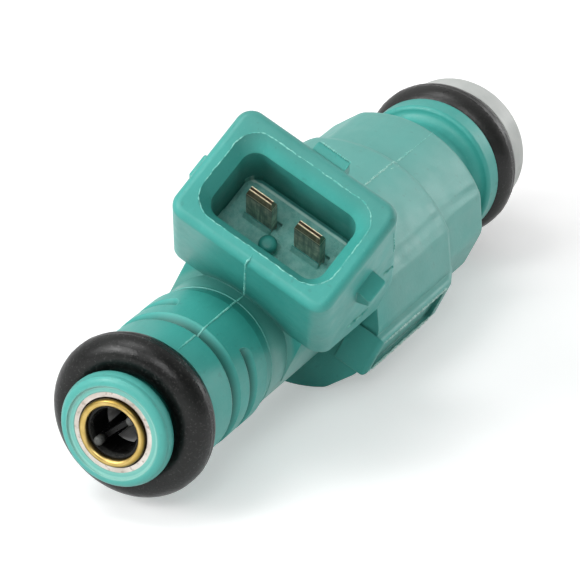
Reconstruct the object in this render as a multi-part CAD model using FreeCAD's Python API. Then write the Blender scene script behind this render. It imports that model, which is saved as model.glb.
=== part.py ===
import FreeCAD, Part
import math
import os

# Fuel injector with a two-blade electrical socket, lying on a bench on the rounded belly of its barrel.
# Row frame: the origin is the centre of the outlet seal, +X runs along the injector's axis to the fuel
# inlet, and +Z is up. Everything is drawn with the socket upright, in the XZ plane, and the last step
# turns it about X by socket_lean, the angle at which the injector lies. Lengths are in millimetres.

V = FreeCAD.Vector
os.makedirs("parts", exist_ok=True)

# ---- driving dimensions ------------------------------------------------------------------------
socket_lean = 26.5            # the socket leans from upright towards +Y
seal_spacing = 60.65          # outlet seal centre to inlet seal centre
running_gap = 0.05            # radial clearance of the moving needle in its guides
contact_gap = 0.02            # free space left at each end of the needle's travel
needle_travel = 0.10

# seals
seal_bore = 7.53
seal_cord = 3.53
seal_flash = 0.5              # width of the moulded flat on the crest
seal_slack = 0.01             # radial gap between a seal's bore and the groove floor
groove_side_gap = 0.235       # axial gap on each side of a seal

# inlet end
lip_radius = 5.06
lip_length = 2.05
lip_round = 0.95
lip_step_radius = 4.3         # the shallow dish inside the lip's face
lip_step_depth = 0.22
collar_radius = 6.3
collar_length = 3.45
neck_radius = 6.34
notch_width = 1.55            # turned notch behind the collar, square in front and swept behind
notch_depth = 0.9
notch_floor = 0.2
slot_from_seal = 8.65         # retaining clip slots, measured from the inlet seal's centre
slot_width = 1.45
slot_depth = 0.95
slot_floor = 0.2
slot_span = 100.0             # angle that each clip slot covers at full depth
slot_run_out = 9.0            # angle over which each end rises to the surface
parting_from_seal = 13.4      # raised ring where the neck's mould closes
parting_step = 0.32
parting_bead = 0.1
parting_taper = 1.5

# steel inlet tube and filter
tube_radius = 3.1
tube_bore = 5.4
mouth_radius = 3.6            # rolled rim at the tube's mouth
mouth_length = 1.0
mouth_setback = 0.25          # the steel rim's distance behind the lip's face
filter_lip_radius = 3.07
filter_lip_wall = 0.68
filter_cup_wall = 0.22
filter_cup_length = 4.2
filter_wall = 0.3
filter_sleeve_length = 2.5
filter_nose_length = 0.6      # thin front of the sleeve, inside the brass rim
filter_nose_wall = 0.19
filter_length = 14.0
filter_rib_width = 1.25
filter_rib_grip = 0.6         # length of each rib held in the sleeve
filter_end_length = 0.8
mesh_wall = 0.12
crossbar_width = 0.42
crossbar_depth = 0.9
crossbar_setback = 0.45
lug_radius = 0.42             # round lugs that stand on the ends of the crossbar
lug_offset = 1.95
lug_rise = 0.7                # above the front of the sleeve
lug_round = 0.3
filter_turn = 65.0            # angle of crossbar and ribs about the axis, from across the socket
core_bore = 3.3               # narrow bore through the pole

# socket
socket_station = 47.5         # centre of the socket's rim, along the axis
socket_height = 16.56         # centre of the socket's rim, above the axis
socket_tilt = 41.7            # the socket's axis tilts from upright towards the inlet
socket_length = 16.18         # outside, across the injector
socket_width = 11.5           # outside, along the injector
socket_underside = 4.3        # height of the socket's floor slab above the axis
socket_corner_near = 1.5      # upright corners on the inlet side
socket_corner_far = 1.5
socket_edge = 0.75
mouth_long = 13.5             # lead-in at the rim
mouth_wide = 8.8
mouth_corner = 2.3
cavity_long = 11.4
cavity_wide = 6.7
cavity_shift = -0.2           # the cavity sits nearer to the inlet side than the mouth does
cavity_corner = 1.4
lead_in_depth = 1.4
cavity_depth = 7.8
socket_floor = 0.8            # floor that belongs to the socket's piece of the moulding
nose_width = 2.3              # latch nose on each narrow side
nose_offset = 0.35
nose_reach = 1.4
nose_top = 5.5
nose_slope = 0.5
nose_height = 2.4
nose_under = 1.4
seam_width = 0.45             # mould seams cut along the injector on each narrow side
seam_depth = 0.3
seams = ((36.8, 40.0, 5.85), (36.3, 37.9, 10.5))
key_width = 3.3               # key block on the far long side
key_reach = 1.0
key_offset = 0.25
key_height = 2.1
key_drop = 0.65
peg_radius = 0.82             # keying peg on the socket's floor
peg_height = 1.8
peg_u = -0.55
peg_v = -1.6
peg_round = 0.55
margin_width = 0.3            # sunk margin round the far side of the socket's floor
margin_depth = 0.35
margin_start = -0.8

# blades
blade_pitch = 5.0
blade_width = 2.65
blade_thickness = 0.8
blade_tip_setback = 1.35
blade_tip_width = 2.25
blade_tip_length = 1.0
blade_tip_thickness = 0.35
blade_offset = 0.15
foot_slot_gap = 0.35          # slot in the floor beside and behind each blade
foot_slot_depth = 0.6
foot_height = 0.7             # wedge of plastic in front of each blade
foot_reach = 0.37
foot_top = 0.08
foot_overlap = 0.15
strip_thickness = 0.5
strip_height = 6.6
strip_width = 1.6

# stem and barrel
stem_width = 12.2
stem_front = 44.3
barrel_front = 33.15
sleeve_end = 17.15            # where the wide part of the barrel steps down
sleeve_top = 8.1
sleeve_ridge_y = 7.45
sleeve_ridge_z = 5.4
sleeve_side_y = 9.3
sleeve_side_z = 2.35
sleeve_fade = ((1.25, 0.0), (0.75, 0.1), (0.3, 0.32), (0.0, 0.72))
rear_end = 8.6
rear_top = 7.45
rear_ridge_y = 6.6
rear_ridge_z = 5.0
rear_side_y = 8.35
rear_side_z = 2.0
rear_round = 0.9
ridge_round = 1.8
wing_reach = 10.05            # flat cover over each arm of the magnet bracket
wing_height = 4.2
wing_proud = 0.2
wing_run = 14.3
wing_slope = 1.9
wing_round = 0.45
window_rim = 0.5
window_depth = 0.45
window_setback = 0.7
window_run = 12.6

# outlet end
waist_radius = 5.3
flange_radius = 6.62
flange_length = 1.95
flange_round = 0.35
waist_round = 0.9
cap_radius = 6.45
cap_length = 2.7
cap_round = 0.8
cap_land = 0.2                # width of the cap that holds the orifice plate all round

# magnet
bobbin_front = 30.5
bobbin_back = 19.0
bobbin_wall = 0.55
bobbin_flange = 0.8
bobbin_radius = 6.15
winding_radius = 5.85
lead_width = 0.5
washer_thickness = 1.2
bracket_thickness = 1.4
bracket_inner = 6.45
bracket_arm = 1.3
bracket_height = 6.4
spacer_length = 1.6
spacer_radius = 4.0
pole_face = 22.6

# valve
body_step = 0.1               # the valve body narrows by this much below the armature's guide
body_radius = 3.9
body_tail = 3.4               # the valve body's end, past the outlet seal's centre
armature_length = 6.0
armature_radius = 3.3
armature_seat = 3.1           # depth of the spring's seat in the armature
armature_spring_bore = 3.2
needle_radius = 1.15
needle_bore = 1.4
needle_grip = 2.4             # length of needle held in the armature
ball_radius = 1.5
ball_station = -0.6
ball_sink = 0.35
seat_length = 4.4
seat_cone = 45.0
seat_throat = 0.8
guide_station = 6.0
guide_thickness = 1.2
plate_thickness = 0.2
jet_count = 4
jet_radius = 0.15
jet_circle = 0.45

# spring
spring_radius = 1.15
spring_wire = 0.4
spring_turns = 6.5
sleeve_length = 6.5           # adjusting sleeve pressed into the core
sleeve_bore = 1.7
spring_length = 7.4

# ---- derived places ----------------------------------------------------------------------------
groove_half = seal_cord / 2 + groove_side_gap
groove_floor = seal_bore / 2 - seal_slack
lip_back = seal_spacing + groove_half
lip_face = lip_back + lip_length
collar_front = seal_spacing - groove_half
collar_back = collar_front - collar_length
mouth_face = lip_face - mouth_setback
filter_back = mouth_face - filter_length
slot_front = seal_spacing - slot_from_seal
parting = seal_spacing - parting_from_seal
armature_front = pole_face - needle_travel - contact_gap
armature_back = armature_front - armature_length
spring_back = armature_front - armature_seat
spring_front = spring_back + spring_length
body_front = pole_face - spacer_length
body_bore = 2 * (armature_radius - body_step)
cap_mouth = body_bore / 2 - cap_land
flange_front = groove_half + flange_length
plate_front = -body_tail


# ---- helpers -----------------------------------------------------------------------------------
def turned(points):
    """A solid of revolution about the injector's axis, from (station, radius) points."""
    wire = Part.makePolygon([V(x, 0, r) for x, r in points] + [V(points[0][0], 0, points[0][1])])
    return Part.Face(wire).revolve(V(0, 0, 0), V(1, 0, 0), 360)


def rod(start, end, radius):
    """A solid cylinder on the axis between two stations."""
    low, high = min(start, end), max(start, end)
    return Part.makeCylinder(radius, high - low, V(low, 0, 0), V(1, 0, 0))


def tube(start, end, outer, inner):
    """A hollow cylinder on the axis."""
    low, high = min(start, end), max(start, end)
    return rod(low, high, outer).cut(rod(low - 1, high + 1, inner))


def swept(front, back, low, high, steps=10):
    """(station, radius) points of a hollow rise from low at the front to high at the back."""
    points = []
    for step in range(steps + 1):
        share = step / steps
        rise = 1 - math.cos(math.pi * share / 2)
        points.append((front + (back - front) * share, low + (high - low) * rise))
    return points


def block(x0, x1, y0, y1, z0, z1):
    """A box from its low and high corners."""
    return Part.makeBox(x1 - x0, y1 - y0, z1 - z0, V(x0, y0, z0))


def rounded(shape, radius, pick):
    """The shape with every edge that the test picks filleted."""
    return shape.makeFillet(radius, [edge for edge in shape.Edges if pick(edge)])


def along(edge, direction):
    """True if a straight edge runs along the direction."""
    if edge.Curve.TypeId != "Part::GeomLine":
        return False
    return abs(edge.tangentAt(edge.FirstParameter).dot(direction)) > 0.999


def in_plane(edge, axis, value):
    """True if the whole edge lies in the plane where the coordinate has the value."""
    points = [edge.valueAt(t) for t in (edge.FirstParameter, edge.LastParameter)]
    points.append(edge.CenterOfMass)
    return all(abs(getattr(p, axis) - value) < 1e-5 for p in points)


def rounded_box(long_side, wide_side, corner, low, high):
    """A box round the socket's axis with rounded upright corners, in the socket's own frame."""
    box = block(-long_side / 2, long_side / 2, -wide_side / 2, wide_side / 2, low, high)
    return rounded(box, corner, lambda edge: along(edge, V(0, 0, 1)))


def in_socket(shape):
    """Carry a shape from the socket's frame (u across, v away from the inlet, w out) to the injector's."""
    t = math.radians(socket_tilt)
    c, s = math.cos(t), math.sin(t)
    matrix = FreeCAD.Matrix(0, -c, s, socket_station, 1, 0, 0, 0, 0, s, c, socket_height, 0, 0, 0, 1)
    moved = shape.copy()
    moved.Placement = FreeCAD.Placement(matrix).multiply(moved.Placement)
    return moved


def joined(first, *others):
    """One clean solid from several that overlap or touch."""
    return first.fuse(list(others)).removeSplitter()


# ---- green body --------------------------------------------------------------------------------
def neck():
    """Turned outside of the inlet end: lip, seal groove, collar, notch and neck."""
    floor = neck_radius - notch_depth
    outer = turned([
        (lip_face, 0),
        (lip_face, lip_radius),
        (lip_back, lip_radius),
        (lip_back, groove_floor),
        (collar_front, groove_floor),
        (collar_front, collar_radius),
        (collar_back, collar_radius),
        (collar_back, floor),
        *swept(collar_back - notch_floor, collar_back - notch_width, floor, neck_radius),
        (parting + parting_taper, neck_radius),
        (parting, neck_radius - parting_step),
        (barrel_front - 1, neck_radius - parting_step),
        (barrel_front - 1, 0),
    ])
    outer = rounded(
        outer, lip_round, lambda edge: in_plane(edge, "x", lip_face) or (
            in_plane(edge, "x", lip_back) and edge.Curve.Radius > groove_floor + 0.1
        )
    )
    face_step = turned([
        (lip_face + 1, 0),
        (lip_face + 1, lip_step_radius),
        (lip_face - lip_step_depth, lip_step_radius - 0.15),
        (lip_face - lip_step_depth, 0),
    ])
    bead = turned([
        (parting + 0.2, neck_radius - parting_step - 0.1),
        (parting + 0.1, neck_radius - parting_step + parting_bead),
        (parting, neck_radius - parting_step + parting_bead),
        (parting - 0.1, neck_radius - parting_step - 0.1),
    ])
    return joined(outer.cut(face_step), bead)


def slot_outline(share, angle):
    """The clip slot's cross-section at an angle, with its depth and width cut to a share."""
    floor = neck_radius - slot_depth * share
    front = slot_front - slot_floor * share
    back = slot_front - slot_width * share
    wire = Part.makePolygon([
        V(slot_front, 0, neck_radius + 1),
        V(slot_front, 0, floor),
        *[V(x, 0, r) for x, r in swept(front, back, floor, neck_radius)],
        V(back, 0, neck_radius + 1),
        V(slot_front, 0, neck_radius + 1),
    ])
    wire.rotate(V(0, 0, 0), V(1, 0, 0), angle)
    return wire


def clip_slot(side):
    """One curved slot for the rail's clip: square on the inlet side, swept behind, rising at both ends."""
    start = -side * 90 - slot_span / 2
    cut = Part.Face(slot_outline(1, start)).revolve(V(0, 0, 0), V(1, 0, 0), slot_span)
    ends = []
    for angle, way in ((start, -1), (start + slot_span, 1)):
        stations = [0, 0.3, 0.55, 0.75, 0.9, 0.98]
        wires = [slot_outline(math.sqrt(1 - t * t), angle + way * slot_run_out * t) for t in stations]
        ends.append(Part.makeLoft(wires, True, True))
    return cut.fuse(ends)


def arched(front, back, top, ridge_y, ridge_z, side_y, side_z):
    """A prism along the axis: arched top and belly, four sloping facets and two upright sides."""
    edges = [
        Part.Arc(V(front, -ridge_y, ridge_z), V(front, 0, top), V(front, ridge_y, ridge_z)).toShape(),
        Part.makePolygon([
            V(front, ridge_y, ridge_z),
            V(front, side_y, side_z),
            V(front, side_y, -side_z),
            V(front, ridge_y, -ridge_z),
        ]),
        Part.Arc(V(front, ridge_y, -ridge_z), V(front, 0, -top), V(front, -ridge_y, -ridge_z)).toShape(),
        Part.makePolygon([
            V(front, -ridge_y, -ridge_z),
            V(front, -side_y, -side_z),
            V(front, -side_y, side_z),
            V(front, -ridge_y, ridge_z),
        ]),
    ]
    face = Part.Face(Part.Wire([e for shape in edges for e in shape.Edges]))
    solid = face.extrude(V(back - front, 0, 0))
    return rounded(solid, ridge_round, lambda edge: along(edge, V(1, 0, 0)))


def wing(side):
    """The flat cover over one arm of the magnet bracket, with a framed shallow window."""
    front = barrel_front + wing_proud
    back = front - wing_run
    root = rear_side_y - 1.5
    wire = Part.makePolygon([
        V(front, root, 0),
        V(front, wing_reach, 0),
        V(back, wing_reach, 0),
        V(back - wing_slope, sleeve_side_y - 0.1, 0),
        V(back - wing_slope, root, 0),
        V(front, root, 0),
    ])
    cover = Part.Face(wire).extrude(V(0, 0, wing_height))
    cover.translate(V(0, 0, -wing_height / 2))
    cover = rounded(cover, wing_round, lambda edge: edge.CenterOfMass.y > wing_reach - 0.6)
    window = block(
        front - window_setback - window_run, front - window_setback,
        wing_reach - window_depth, wing_reach + 1,
        -wing_height / 2 + window_rim, wing_height / 2 - window_rim,
    )
    window = rounded(window, 0.3, lambda edge: along(edge, V(0, 1, 0)))
    cover = cover.cut(window)
    if side < 0:
        cover.rotate(V(0, 0, 0), V(1, 0, 0), 180)
    return cover


def socket_shell():
    """Outside of the socket: a prism whose side view is a slanted box on a flat floor slab."""
    t = math.radians(socket_tilt)
    half = socket_width / 2
    rim_front = V(socket_station + half * math.cos(t), 0, socket_height - half * math.sin(t))
    rim_back = V(socket_station - half * math.cos(t), 0, socket_height + half * math.sin(t))
    drop = (rim_front.z - socket_underside) / math.cos(t)
    foot_front = V(rim_front.x - drop * math.sin(t), 0, socket_underside)
    run = (rim_back.x - barrel_front) / math.sin(t)
    heel = V(barrel_front, 0, rim_back.z - run * math.cos(t))
    foot_back = V(barrel_front, 0, socket_underside)
    wire = Part.makePolygon([rim_front, rim_back, heel, foot_back, foot_front, rim_front])
    shell = Part.Face(wire).extrude(V(0, socket_length, 0))
    shell.translate(V(0, -socket_length / 2, 0))
    out = V(math.sin(t), 0, math.cos(t))
    shell = rounded(shell, socket_corner_near, lambda edge: along(edge, out) and edge.CenterOfMass.x > 40)
    shell = rounded(shell, socket_corner_far, lambda edge: along(edge, out) and edge.CenterOfMass.x < 40)
    rim = socket_station * out.x + socket_height * out.z

    def on_rim(edge):
        ends = [edge.valueAt(p) for p in (edge.FirstParameter, edge.LastParameter)]
        return all(abs(p.dot(out) - rim) < 1e-4 for p in ends)

    return rounded(shell, socket_edge, on_rim)


def socket_trim():
    """Latch noses on the narrow sides and the key on the far side, in the injector's frame."""
    half = socket_length / 2
    root = half - 0.6
    low = nose_offset - nose_width / 2
    base = -nose_top - nose_slope - nose_height
    outline = Part.makePolygon([
        V(root, low, -nose_top),
        V(half, low, -nose_top),
        V(half + nose_reach, low, -nose_top - nose_slope),
        V(half + nose_reach, low, base + nose_under),
        V(half, low, base),
        V(root, low, base),
        V(root, low, -nose_top),
    ])
    nose = Part.Face(outline).extrude(V(0, nose_width, 0))
    nose = rounded(nose, 0.25, lambda edge: edge.CenterOfMass.x > half + nose_reach - 0.01)
    key = block(
        key_offset - key_width / 2, key_offset + key_width / 2,
        socket_width / 2 - 0.6, socket_width / 2 + key_reach,
        -key_drop - key_height, -key_drop,
    )
    key = rounded(key, 0.3, lambda edge: edge.CenterOfMass.y > socket_width / 2 + key_reach - 0.01)
    return [in_socket(key), in_socket(nose), in_socket(nose.mirror(V(0, 0, 0), V(1, 0, 0)))]


def socket_seams():
    """The mould seams in the narrow sides of the socket."""
    half = socket_length / 2
    cuts = []
    for back, front, height in seams:
        for low in (half - seam_depth, -half - 1):
            cuts.append(block(back, front, low, low + seam_depth + 1, height, height + seam_width))
    return cuts


def blade_foot(side):
    """The wedge of plastic that backs a blade on the inlet side, in the socket's frame."""
    u = side * blade_pitch / 2
    near = blade_offset - blade_thickness / 2
    floor = -cavity_depth
    left = u - blade_width / 2 - foot_overlap
    wire = Part.makePolygon([
        V(left, near, floor),
        V(left, near, floor + foot_height),
        V(left, near - foot_top, floor + foot_height),
        V(left, near - foot_reach, floor),
        V(left, near, floor),
    ])
    return Part.Face(wire).extrude(V(blade_width + foot_overlap, 0, 0))


def socket_cavity():
    """The space for the plug: a lead-in, the cavity, a margin round the floor and a slot by each blade."""
    floor = -cavity_depth
    cavity = rounded_box(cavity_long, cavity_wide, cavity_corner, floor, 1)
    cavity.translate(V(0, cavity_shift, 0))
    space = joined(cavity, lead_in())
    ring = rounded_box(cavity_long, cavity_wide, cavity_corner, floor - margin_depth, floor + 0.1)
    plate = rounded_box(
        cavity_long - 2 * margin_width, cavity_wide - 2 * margin_width, cavity_corner, floor - 1, floor + 1
    )
    far = block(-cavity_long, cavity_long, margin_start, cavity_wide, floor - 1, floor + 1)
    ring = ring.cut(plate).common(far)
    ring.translate(V(0, cavity_shift, 0))
    space = space.fuse(ring)
    peg = Part.makeCylinder(peg_radius, peg_height, V(peg_u, peg_v, floor), V(0, 0, 1))
    peg = rounded(peg, peg_round, lambda edge: in_plane(edge, "z", floor + peg_height))
    space = space.cut(peg)
    for side in (-1, 1):
        u = side * blade_pitch / 2
        high_v = blade_offset + blade_thickness / 2 + foot_slot_gap
        slot = block(
            u - blade_width / 2, u + blade_width / 2 + foot_slot_gap,
            blade_offset, high_v, floor - foot_slot_depth, floor + 0.1,
        )
        space = space.fuse(slot).cut(blade_foot(side))
    return in_socket(space.removeSplitter())


def rounded_outline(long_side, wide_side, corner, height):
    """The wire of a rounded rectangle at a height in the socket's frame."""
    thin = rounded_box(long_side, wide_side, corner, height, height + 1)
    low = min(thin.Faces, key=lambda face: face.CenterOfMass.z)
    return low.OuterWire


def lead_in():
    """The sloping lead-in, from the mouth at the rim down to the cavity, carried past the rim."""
    past = 0.2
    share = past / lead_in_depth
    long_top = mouth_long + (mouth_long - cavity_long) * share
    wide_top = mouth_wide + (mouth_wide - cavity_wide) * share
    top = rounded_outline(long_top, wide_top, mouth_corner, past)
    top.translate(V(0, -cavity_shift * share, 0))
    low = rounded_outline(cavity_long, cavity_wide, cavity_corner, -lead_in_depth)
    low.translate(V(0, cavity_shift, 0))
    return Part.makeLoft([low, top], True, True)


def barrel():
    """The barrel round the magnet: a wide sleeve with two wings, and a narrower rear part."""
    start = sleeve_end + sleeve_fade[0][0]
    sleeve = arched(
        barrel_front, start, sleeve_top, sleeve_ridge_y, sleeve_ridge_z, sleeve_side_y, sleeve_side_z
    )
    end = min(sleeve.Faces, key=lambda face: face.CenterOfMass.x)
    rings = [end.OuterWire]
    for run, inset in sleeve_fade[1:]:
        ring = end.makeOffset2D(-inset).OuterWire
        ring.translate(V(sleeve_end + run - start, 0, 0))
        rings.append(ring)
    sleeve = sleeve.fuse(Part.makeLoft(rings, True, True))
    rear = arched(sleeve_end + 2, rear_end, rear_top, rear_ridge_y, rear_ridge_z, rear_side_y, rear_side_z)
    rear = rounded(rear, rear_round, lambda edge: in_plane(edge, "x", rear_end))
    return joined(sleeve, rear, wing(1), wing(-1))


def outlet():
    """Turned outside of the outlet end: waist and flange."""
    flange = rod(groove_half, flange_front, flange_radius)
    flange = rounded(flange, flange_round, lambda edge: in_plane(edge, "x", flange_front))
    end = joined(flange, rod(flange_front - 0.5, rear_end + 2, waist_radius))

    def at_waist(edge):
        return in_plane(edge, "x", flange_front) and edge.Curve.Radius < waist_radius + 0.1

    return rounded(end, waist_round, at_waist)


def moulding():
    """The moulded green body, with its spaces cut to the pieces that it holds."""
    half = stem_width / 2
    stem = block(barrel_front - 1, stem_front, -half, half, 0, socket_underside + 1)
    body = joined(neck(), stem)
    body = body.fuse(socket_shell()).fuse(socket_trim())
    body = body.fuse([barrel(), outlet()])
    body = body.cut([clip_slot(1), clip_slot(-1), socket_cavity()] + socket_seams())
    held = [
        rod(mouth_face, lip_face + 1, mouth_radius),
        rod(mouth_face - mouth_length, mouth_face, mouth_radius),
        rod(body_front, mouth_face, tube_radius),
        rod(body_front, pole_face + spacer_length, spacer_radius),
        rod(groove_half - 1, body_front, body_radius),
        rod(bobbin_back, bobbin_front, bobbin_radius),
        flux_bracket(),
        pole_washer(),
    ]
    body = body.cut(held)
    body = body.cut([terminal(1), terminal(-1), lead(1), lead(-1)])
    return body.removeSplitter()


def socket_zone():
    """The region of the moulding that the socket's walls and floor fill, down to just under the floor."""
    wide = socket_length / 2 + nose_reach + 1
    far = socket_width / 2 + key_reach + 1
    low = -cavity_depth - socket_floor
    return in_socket(block(-wide, wide, -socket_width / 2 - 0.01, far, low, 1))


# ---- terminals ---------------------------------------------------------------------------------
def strip_reach():
    """Depth down the socket's axis at which a blade meets its strip."""
    t = math.radians(socket_tilt)
    middle = strip_height + strip_thickness / 2
    return (middle - socket_height - blade_offset * math.sin(t)) / math.cos(t)


def terminal(side):
    """One tinned blade with a chamfered tip, and the strip from its foot to the coil."""
    u = side * blade_pitch / 2
    half_t = blade_thickness / 2
    tip = -blade_tip_setback
    shoulder = tip - blade_tip_length
    foot = strip_reach()
    half_w = blade_width / 2
    shank = block(u - half_w, u + half_w, blade_offset - half_t, blade_offset + half_t, foot, shoulder)
    base = Part.makePolygon([
        V(u - blade_width / 2, blade_offset - half_t, shoulder),
        V(u + blade_width / 2, blade_offset - half_t, shoulder),
        V(u + blade_width / 2, blade_offset + half_t, shoulder),
        V(u - blade_width / 2, blade_offset + half_t, shoulder),
        V(u - blade_width / 2, blade_offset - half_t, shoulder),
    ])
    crown_half = blade_tip_thickness / 2
    crown = Part.makePolygon([
        V(u - blade_tip_width / 2, blade_offset - crown_half, tip),
        V(u + blade_tip_width / 2, blade_offset - crown_half, tip),
        V(u + blade_tip_width / 2, blade_offset + crown_half, tip),
        V(u - blade_tip_width / 2, blade_offset + crown_half, tip),
        V(u - blade_tip_width / 2, blade_offset - crown_half, tip),
    ])
    blade = in_socket(joined(shank, Part.makeLoft([base, crown], True, True)))
    t = math.radians(socket_tilt)
    strip_end = socket_station + foot * math.sin(t) - blade_offset * math.cos(t) + blade_thickness / 2
    strip = block(
        bobbin_front - bobbin_flange, strip_end, u - strip_width / 2, u + strip_width / 2,
        strip_height, strip_height + strip_thickness,
    )
    return joined(blade, strip)


def lead(side):
    """The coil wire that rises from the winding through the front flange to the strip's end."""
    u = side * blade_pitch / 2
    rise = math.sqrt(winding_radius ** 2 - u ** 2) - 0.1
    x = bobbin_front - bobbin_flange
    pin = block(x, x + lead_width, u - lead_width / 2, u + lead_width / 2, rise, strip_height)
    return pin.cut(rod(bobbin_back, bobbin_front, winding_radius))


# ---- fuel path ---------------------------------------------------------------------------------
def inlet_tube():
    """Steel tube that carries the fuel and forms the magnet's fixed pole."""
    outer = joined(
        rod(pole_face, mouth_face, tube_radius),
        rod(mouth_face - mouth_length, mouth_face, mouth_radius),
    )
    outer = outer.cut(rod(filter_back - 1, mouth_face + 1, tube_bore / 2))
    seat = turned([
        (mouth_face + 1, 0),
        (mouth_face + 1, filter_lip_radius + 0.22),
        (mouth_face, filter_lip_radius + 0.1),
        (mouth_face - filter_lip_wall, tube_bore / 2),
        (mouth_face - filter_lip_wall, 0),
    ])
    return outer.cut(seat).cut(rod(pole_face - 1, filter_back, core_bore / 2))


def filter_ring():
    """Brass filter cup with a rolled rim that shows round the inlet."""
    outer = tube_bore / 2
    inner = outer - filter_cup_wall
    cup = tube(mouth_face - filter_cup_length, mouth_face, outer, inner)
    roll = filter_lip_wall / 2
    rim = Part.makeTorus(filter_lip_radius - roll, roll, V(mouth_face + roll * 0.2, 0, 0), V(1, 0, 0))
    return joined(cup, rim)


def filter_frame():
    """Black filter basket: sleeve with a thin nose, crossbar with two lugs, four ribs and a closed end."""
    outer = tube_bore / 2 - filter_cup_wall
    inner = outer - filter_wall
    front = mouth_face - filter_lip_wall
    sleeve = tube(front - filter_sleeve_length, front, outer, inner)
    nose = tube(front - 0.2, front + filter_nose_length, inner + filter_nose_wall, inner)
    bar_front = front - crossbar_setback
    bar_back = bar_front - crossbar_depth
    half = crossbar_width / 2
    across = [block(bar_back, bar_front, -outer + 0.1, outer - 0.1, -half, half)]
    for side in (1, -1):
        lug = rounded(rod(bar_back, front + lug_rise, lug_radius), lug_round, lug_tip)
        lug.translate(V(0, side * lug_offset, 0))
        across.append(lug)
    low = filter_back + filter_end_length
    high = front - filter_sleeve_length + filter_rib_grip
    ribs = tube(low, high, inner, inner - filter_wall)
    wide = inner + 1
    gaps = []
    for step in range(4):
        gap = block(low, high, filter_rib_width / 2, wide, filter_rib_width / 2, wide)
        gap.rotate(V(0, 0, 0), V(1, 0, 0), step * 90)
        gaps.append(gap)
    across.append(ribs.cut(gaps))
    for piece in across:
        piece.rotate(V(0, 0, 0), V(1, 0, 0), filter_turn)
    end = rod(filter_back, low, inner)
    return joined(sleeve, nose, *across, end)


def lug_tip(edge):
    """True for the edge round the front of a filter lug."""
    return in_plane(edge, "x", mouth_face - filter_lip_wall + lug_rise)


def filter_mesh():
    """Fine mesh tube round the basket's ribs."""
    inner = tube_bore / 2 - filter_cup_wall - filter_wall
    front = mouth_face - filter_lip_wall - filter_sleeve_length
    return tube(filter_back, front, inner + mesh_wall, inner)


def seal(station):
    """O-ring with the narrow moulded flat on its crest."""
    centre = seal_bore / 2 + seal_cord / 2
    ring = Part.makeTorus(centre, seal_cord / 2, V(station, 0, 0), V(1, 0, 0))
    crest = centre + math.sqrt((seal_cord / 2) ** 2 - (seal_flash / 2) ** 2)
    return ring.common(rod(station - seal_cord, station + seal_cord, crest))


def adjusting_sleeve():
    """Sleeve pressed into the core to set the spring's preload."""
    return tube(spring_front, spring_front + sleeve_length, core_bore / 2, sleeve_bore / 2)


def return_spring():
    """Helical spring that closes the valve."""
    wire = spring_wire / 2
    rise = spring_length - spring_wire
    helix = Part.makeLongHelix(rise / spring_turns, rise, spring_radius, 0)
    section = Part.Wire(Part.makeCircle(wire, V(spring_radius, 0, 0), V(0, 1, 0)))
    coil = Part.Wire(helix.Edges).makePipeShell([section], True, True)
    coil.rotate(V(0, 0, 0), V(0, 1, 0), 90)
    coil.translate(V(spring_back + wire, 0, 0))
    return coil


# ---- magnet ------------------------------------------------------------------------------------
def coil_bobbin():
    """Plastic spool for the winding."""
    core = rod(bobbin_back, bobbin_front, spacer_radius + bobbin_wall)
    back = rod(bobbin_back, bobbin_back + bobbin_flange, bobbin_radius)
    front = rod(bobbin_front - bobbin_flange, bobbin_front, bobbin_radius)
    step = pole_face + spacer_length
    bore = joined(rod(bobbin_back - 1, step, spacer_radius), rod(step - 1, bobbin_front + 1, tube_radius))
    return joined(core, back, front).cut(bore).cut([lead(1), lead(-1), terminal(1), terminal(-1)])


def coil_winding():
    """Copper winding between the spool's flanges."""
    inner = spacer_radius + bobbin_wall
    return tube(bobbin_back + bobbin_flange, bobbin_front - bobbin_flange, winding_radius, inner)


def pole_washer():
    """Steel washer with two ears that carries the flux from the core to the bracket's arms."""
    front = bobbin_front + washer_thickness
    half = bracket_height / 2
    ears = block(bobbin_front, front, -bracket_inner, bracket_inner, -half, half)
    disc = rod(bobbin_front, front, bobbin_radius)
    return joined(ears, disc).cut(rod(bobbin_front - 1, front + 1, tube_radius))


def flux_bracket():
    """U-shaped steel bracket round the coil, closed at the front by the washer."""
    half = bracket_height / 2
    outer = bracket_inner + bracket_arm
    back = bobbin_back - bracket_thickness
    front = bobbin_front + washer_thickness
    disc = rod(back, bobbin_back, bobbin_radius)
    web = block(back, bobbin_back, -outer, outer, -half, half).fuse(disc)
    web = web.cut(rod(back - 1, front + 1, body_radius))
    right = block(bobbin_back, front, bracket_inner, outer, -half, half)
    left = block(bobbin_back, front, -outer, -bracket_inner, -half, half)
    return joined(web, right, left)


def spacer_ring():
    """Non-magnetic ring brazed between the core and the valve body."""
    front = pole_face + spacer_length
    round_core = tube(pole_face, front, spacer_radius, tube_radius)
    return joined(round_core, tube(body_front, pole_face, spacer_radius, armature_radius + running_gap))


# ---- valve -------------------------------------------------------------------------------------
def valve_body():
    """Steel tube below the coil that guides the armature and holds the seat."""
    outer = joined(
        rod(groove_half, body_front, body_radius),
        rod(-body_tail, groove_half, groove_floor),
    )
    guide = rod(armature_back - 1, body_front + 1, armature_radius + running_gap)
    return outer.cut(guide).cut(rod(-body_tail - 1, body_front, body_bore / 2))


def armature():
    """Iron sleeve that the coil pulls to the pole."""
    solid = rod(armature_back, armature_front, armature_radius)
    solid = solid.cut(rod(spring_back, armature_front + 1, armature_spring_bore / 2))
    passage = rod(armature_back - 1, armature_front, needle_bore / 2)
    grip = rod(armature_back - 1, armature_back + needle_grip, needle_radius)
    return solid.cut([passage, grip])


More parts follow.
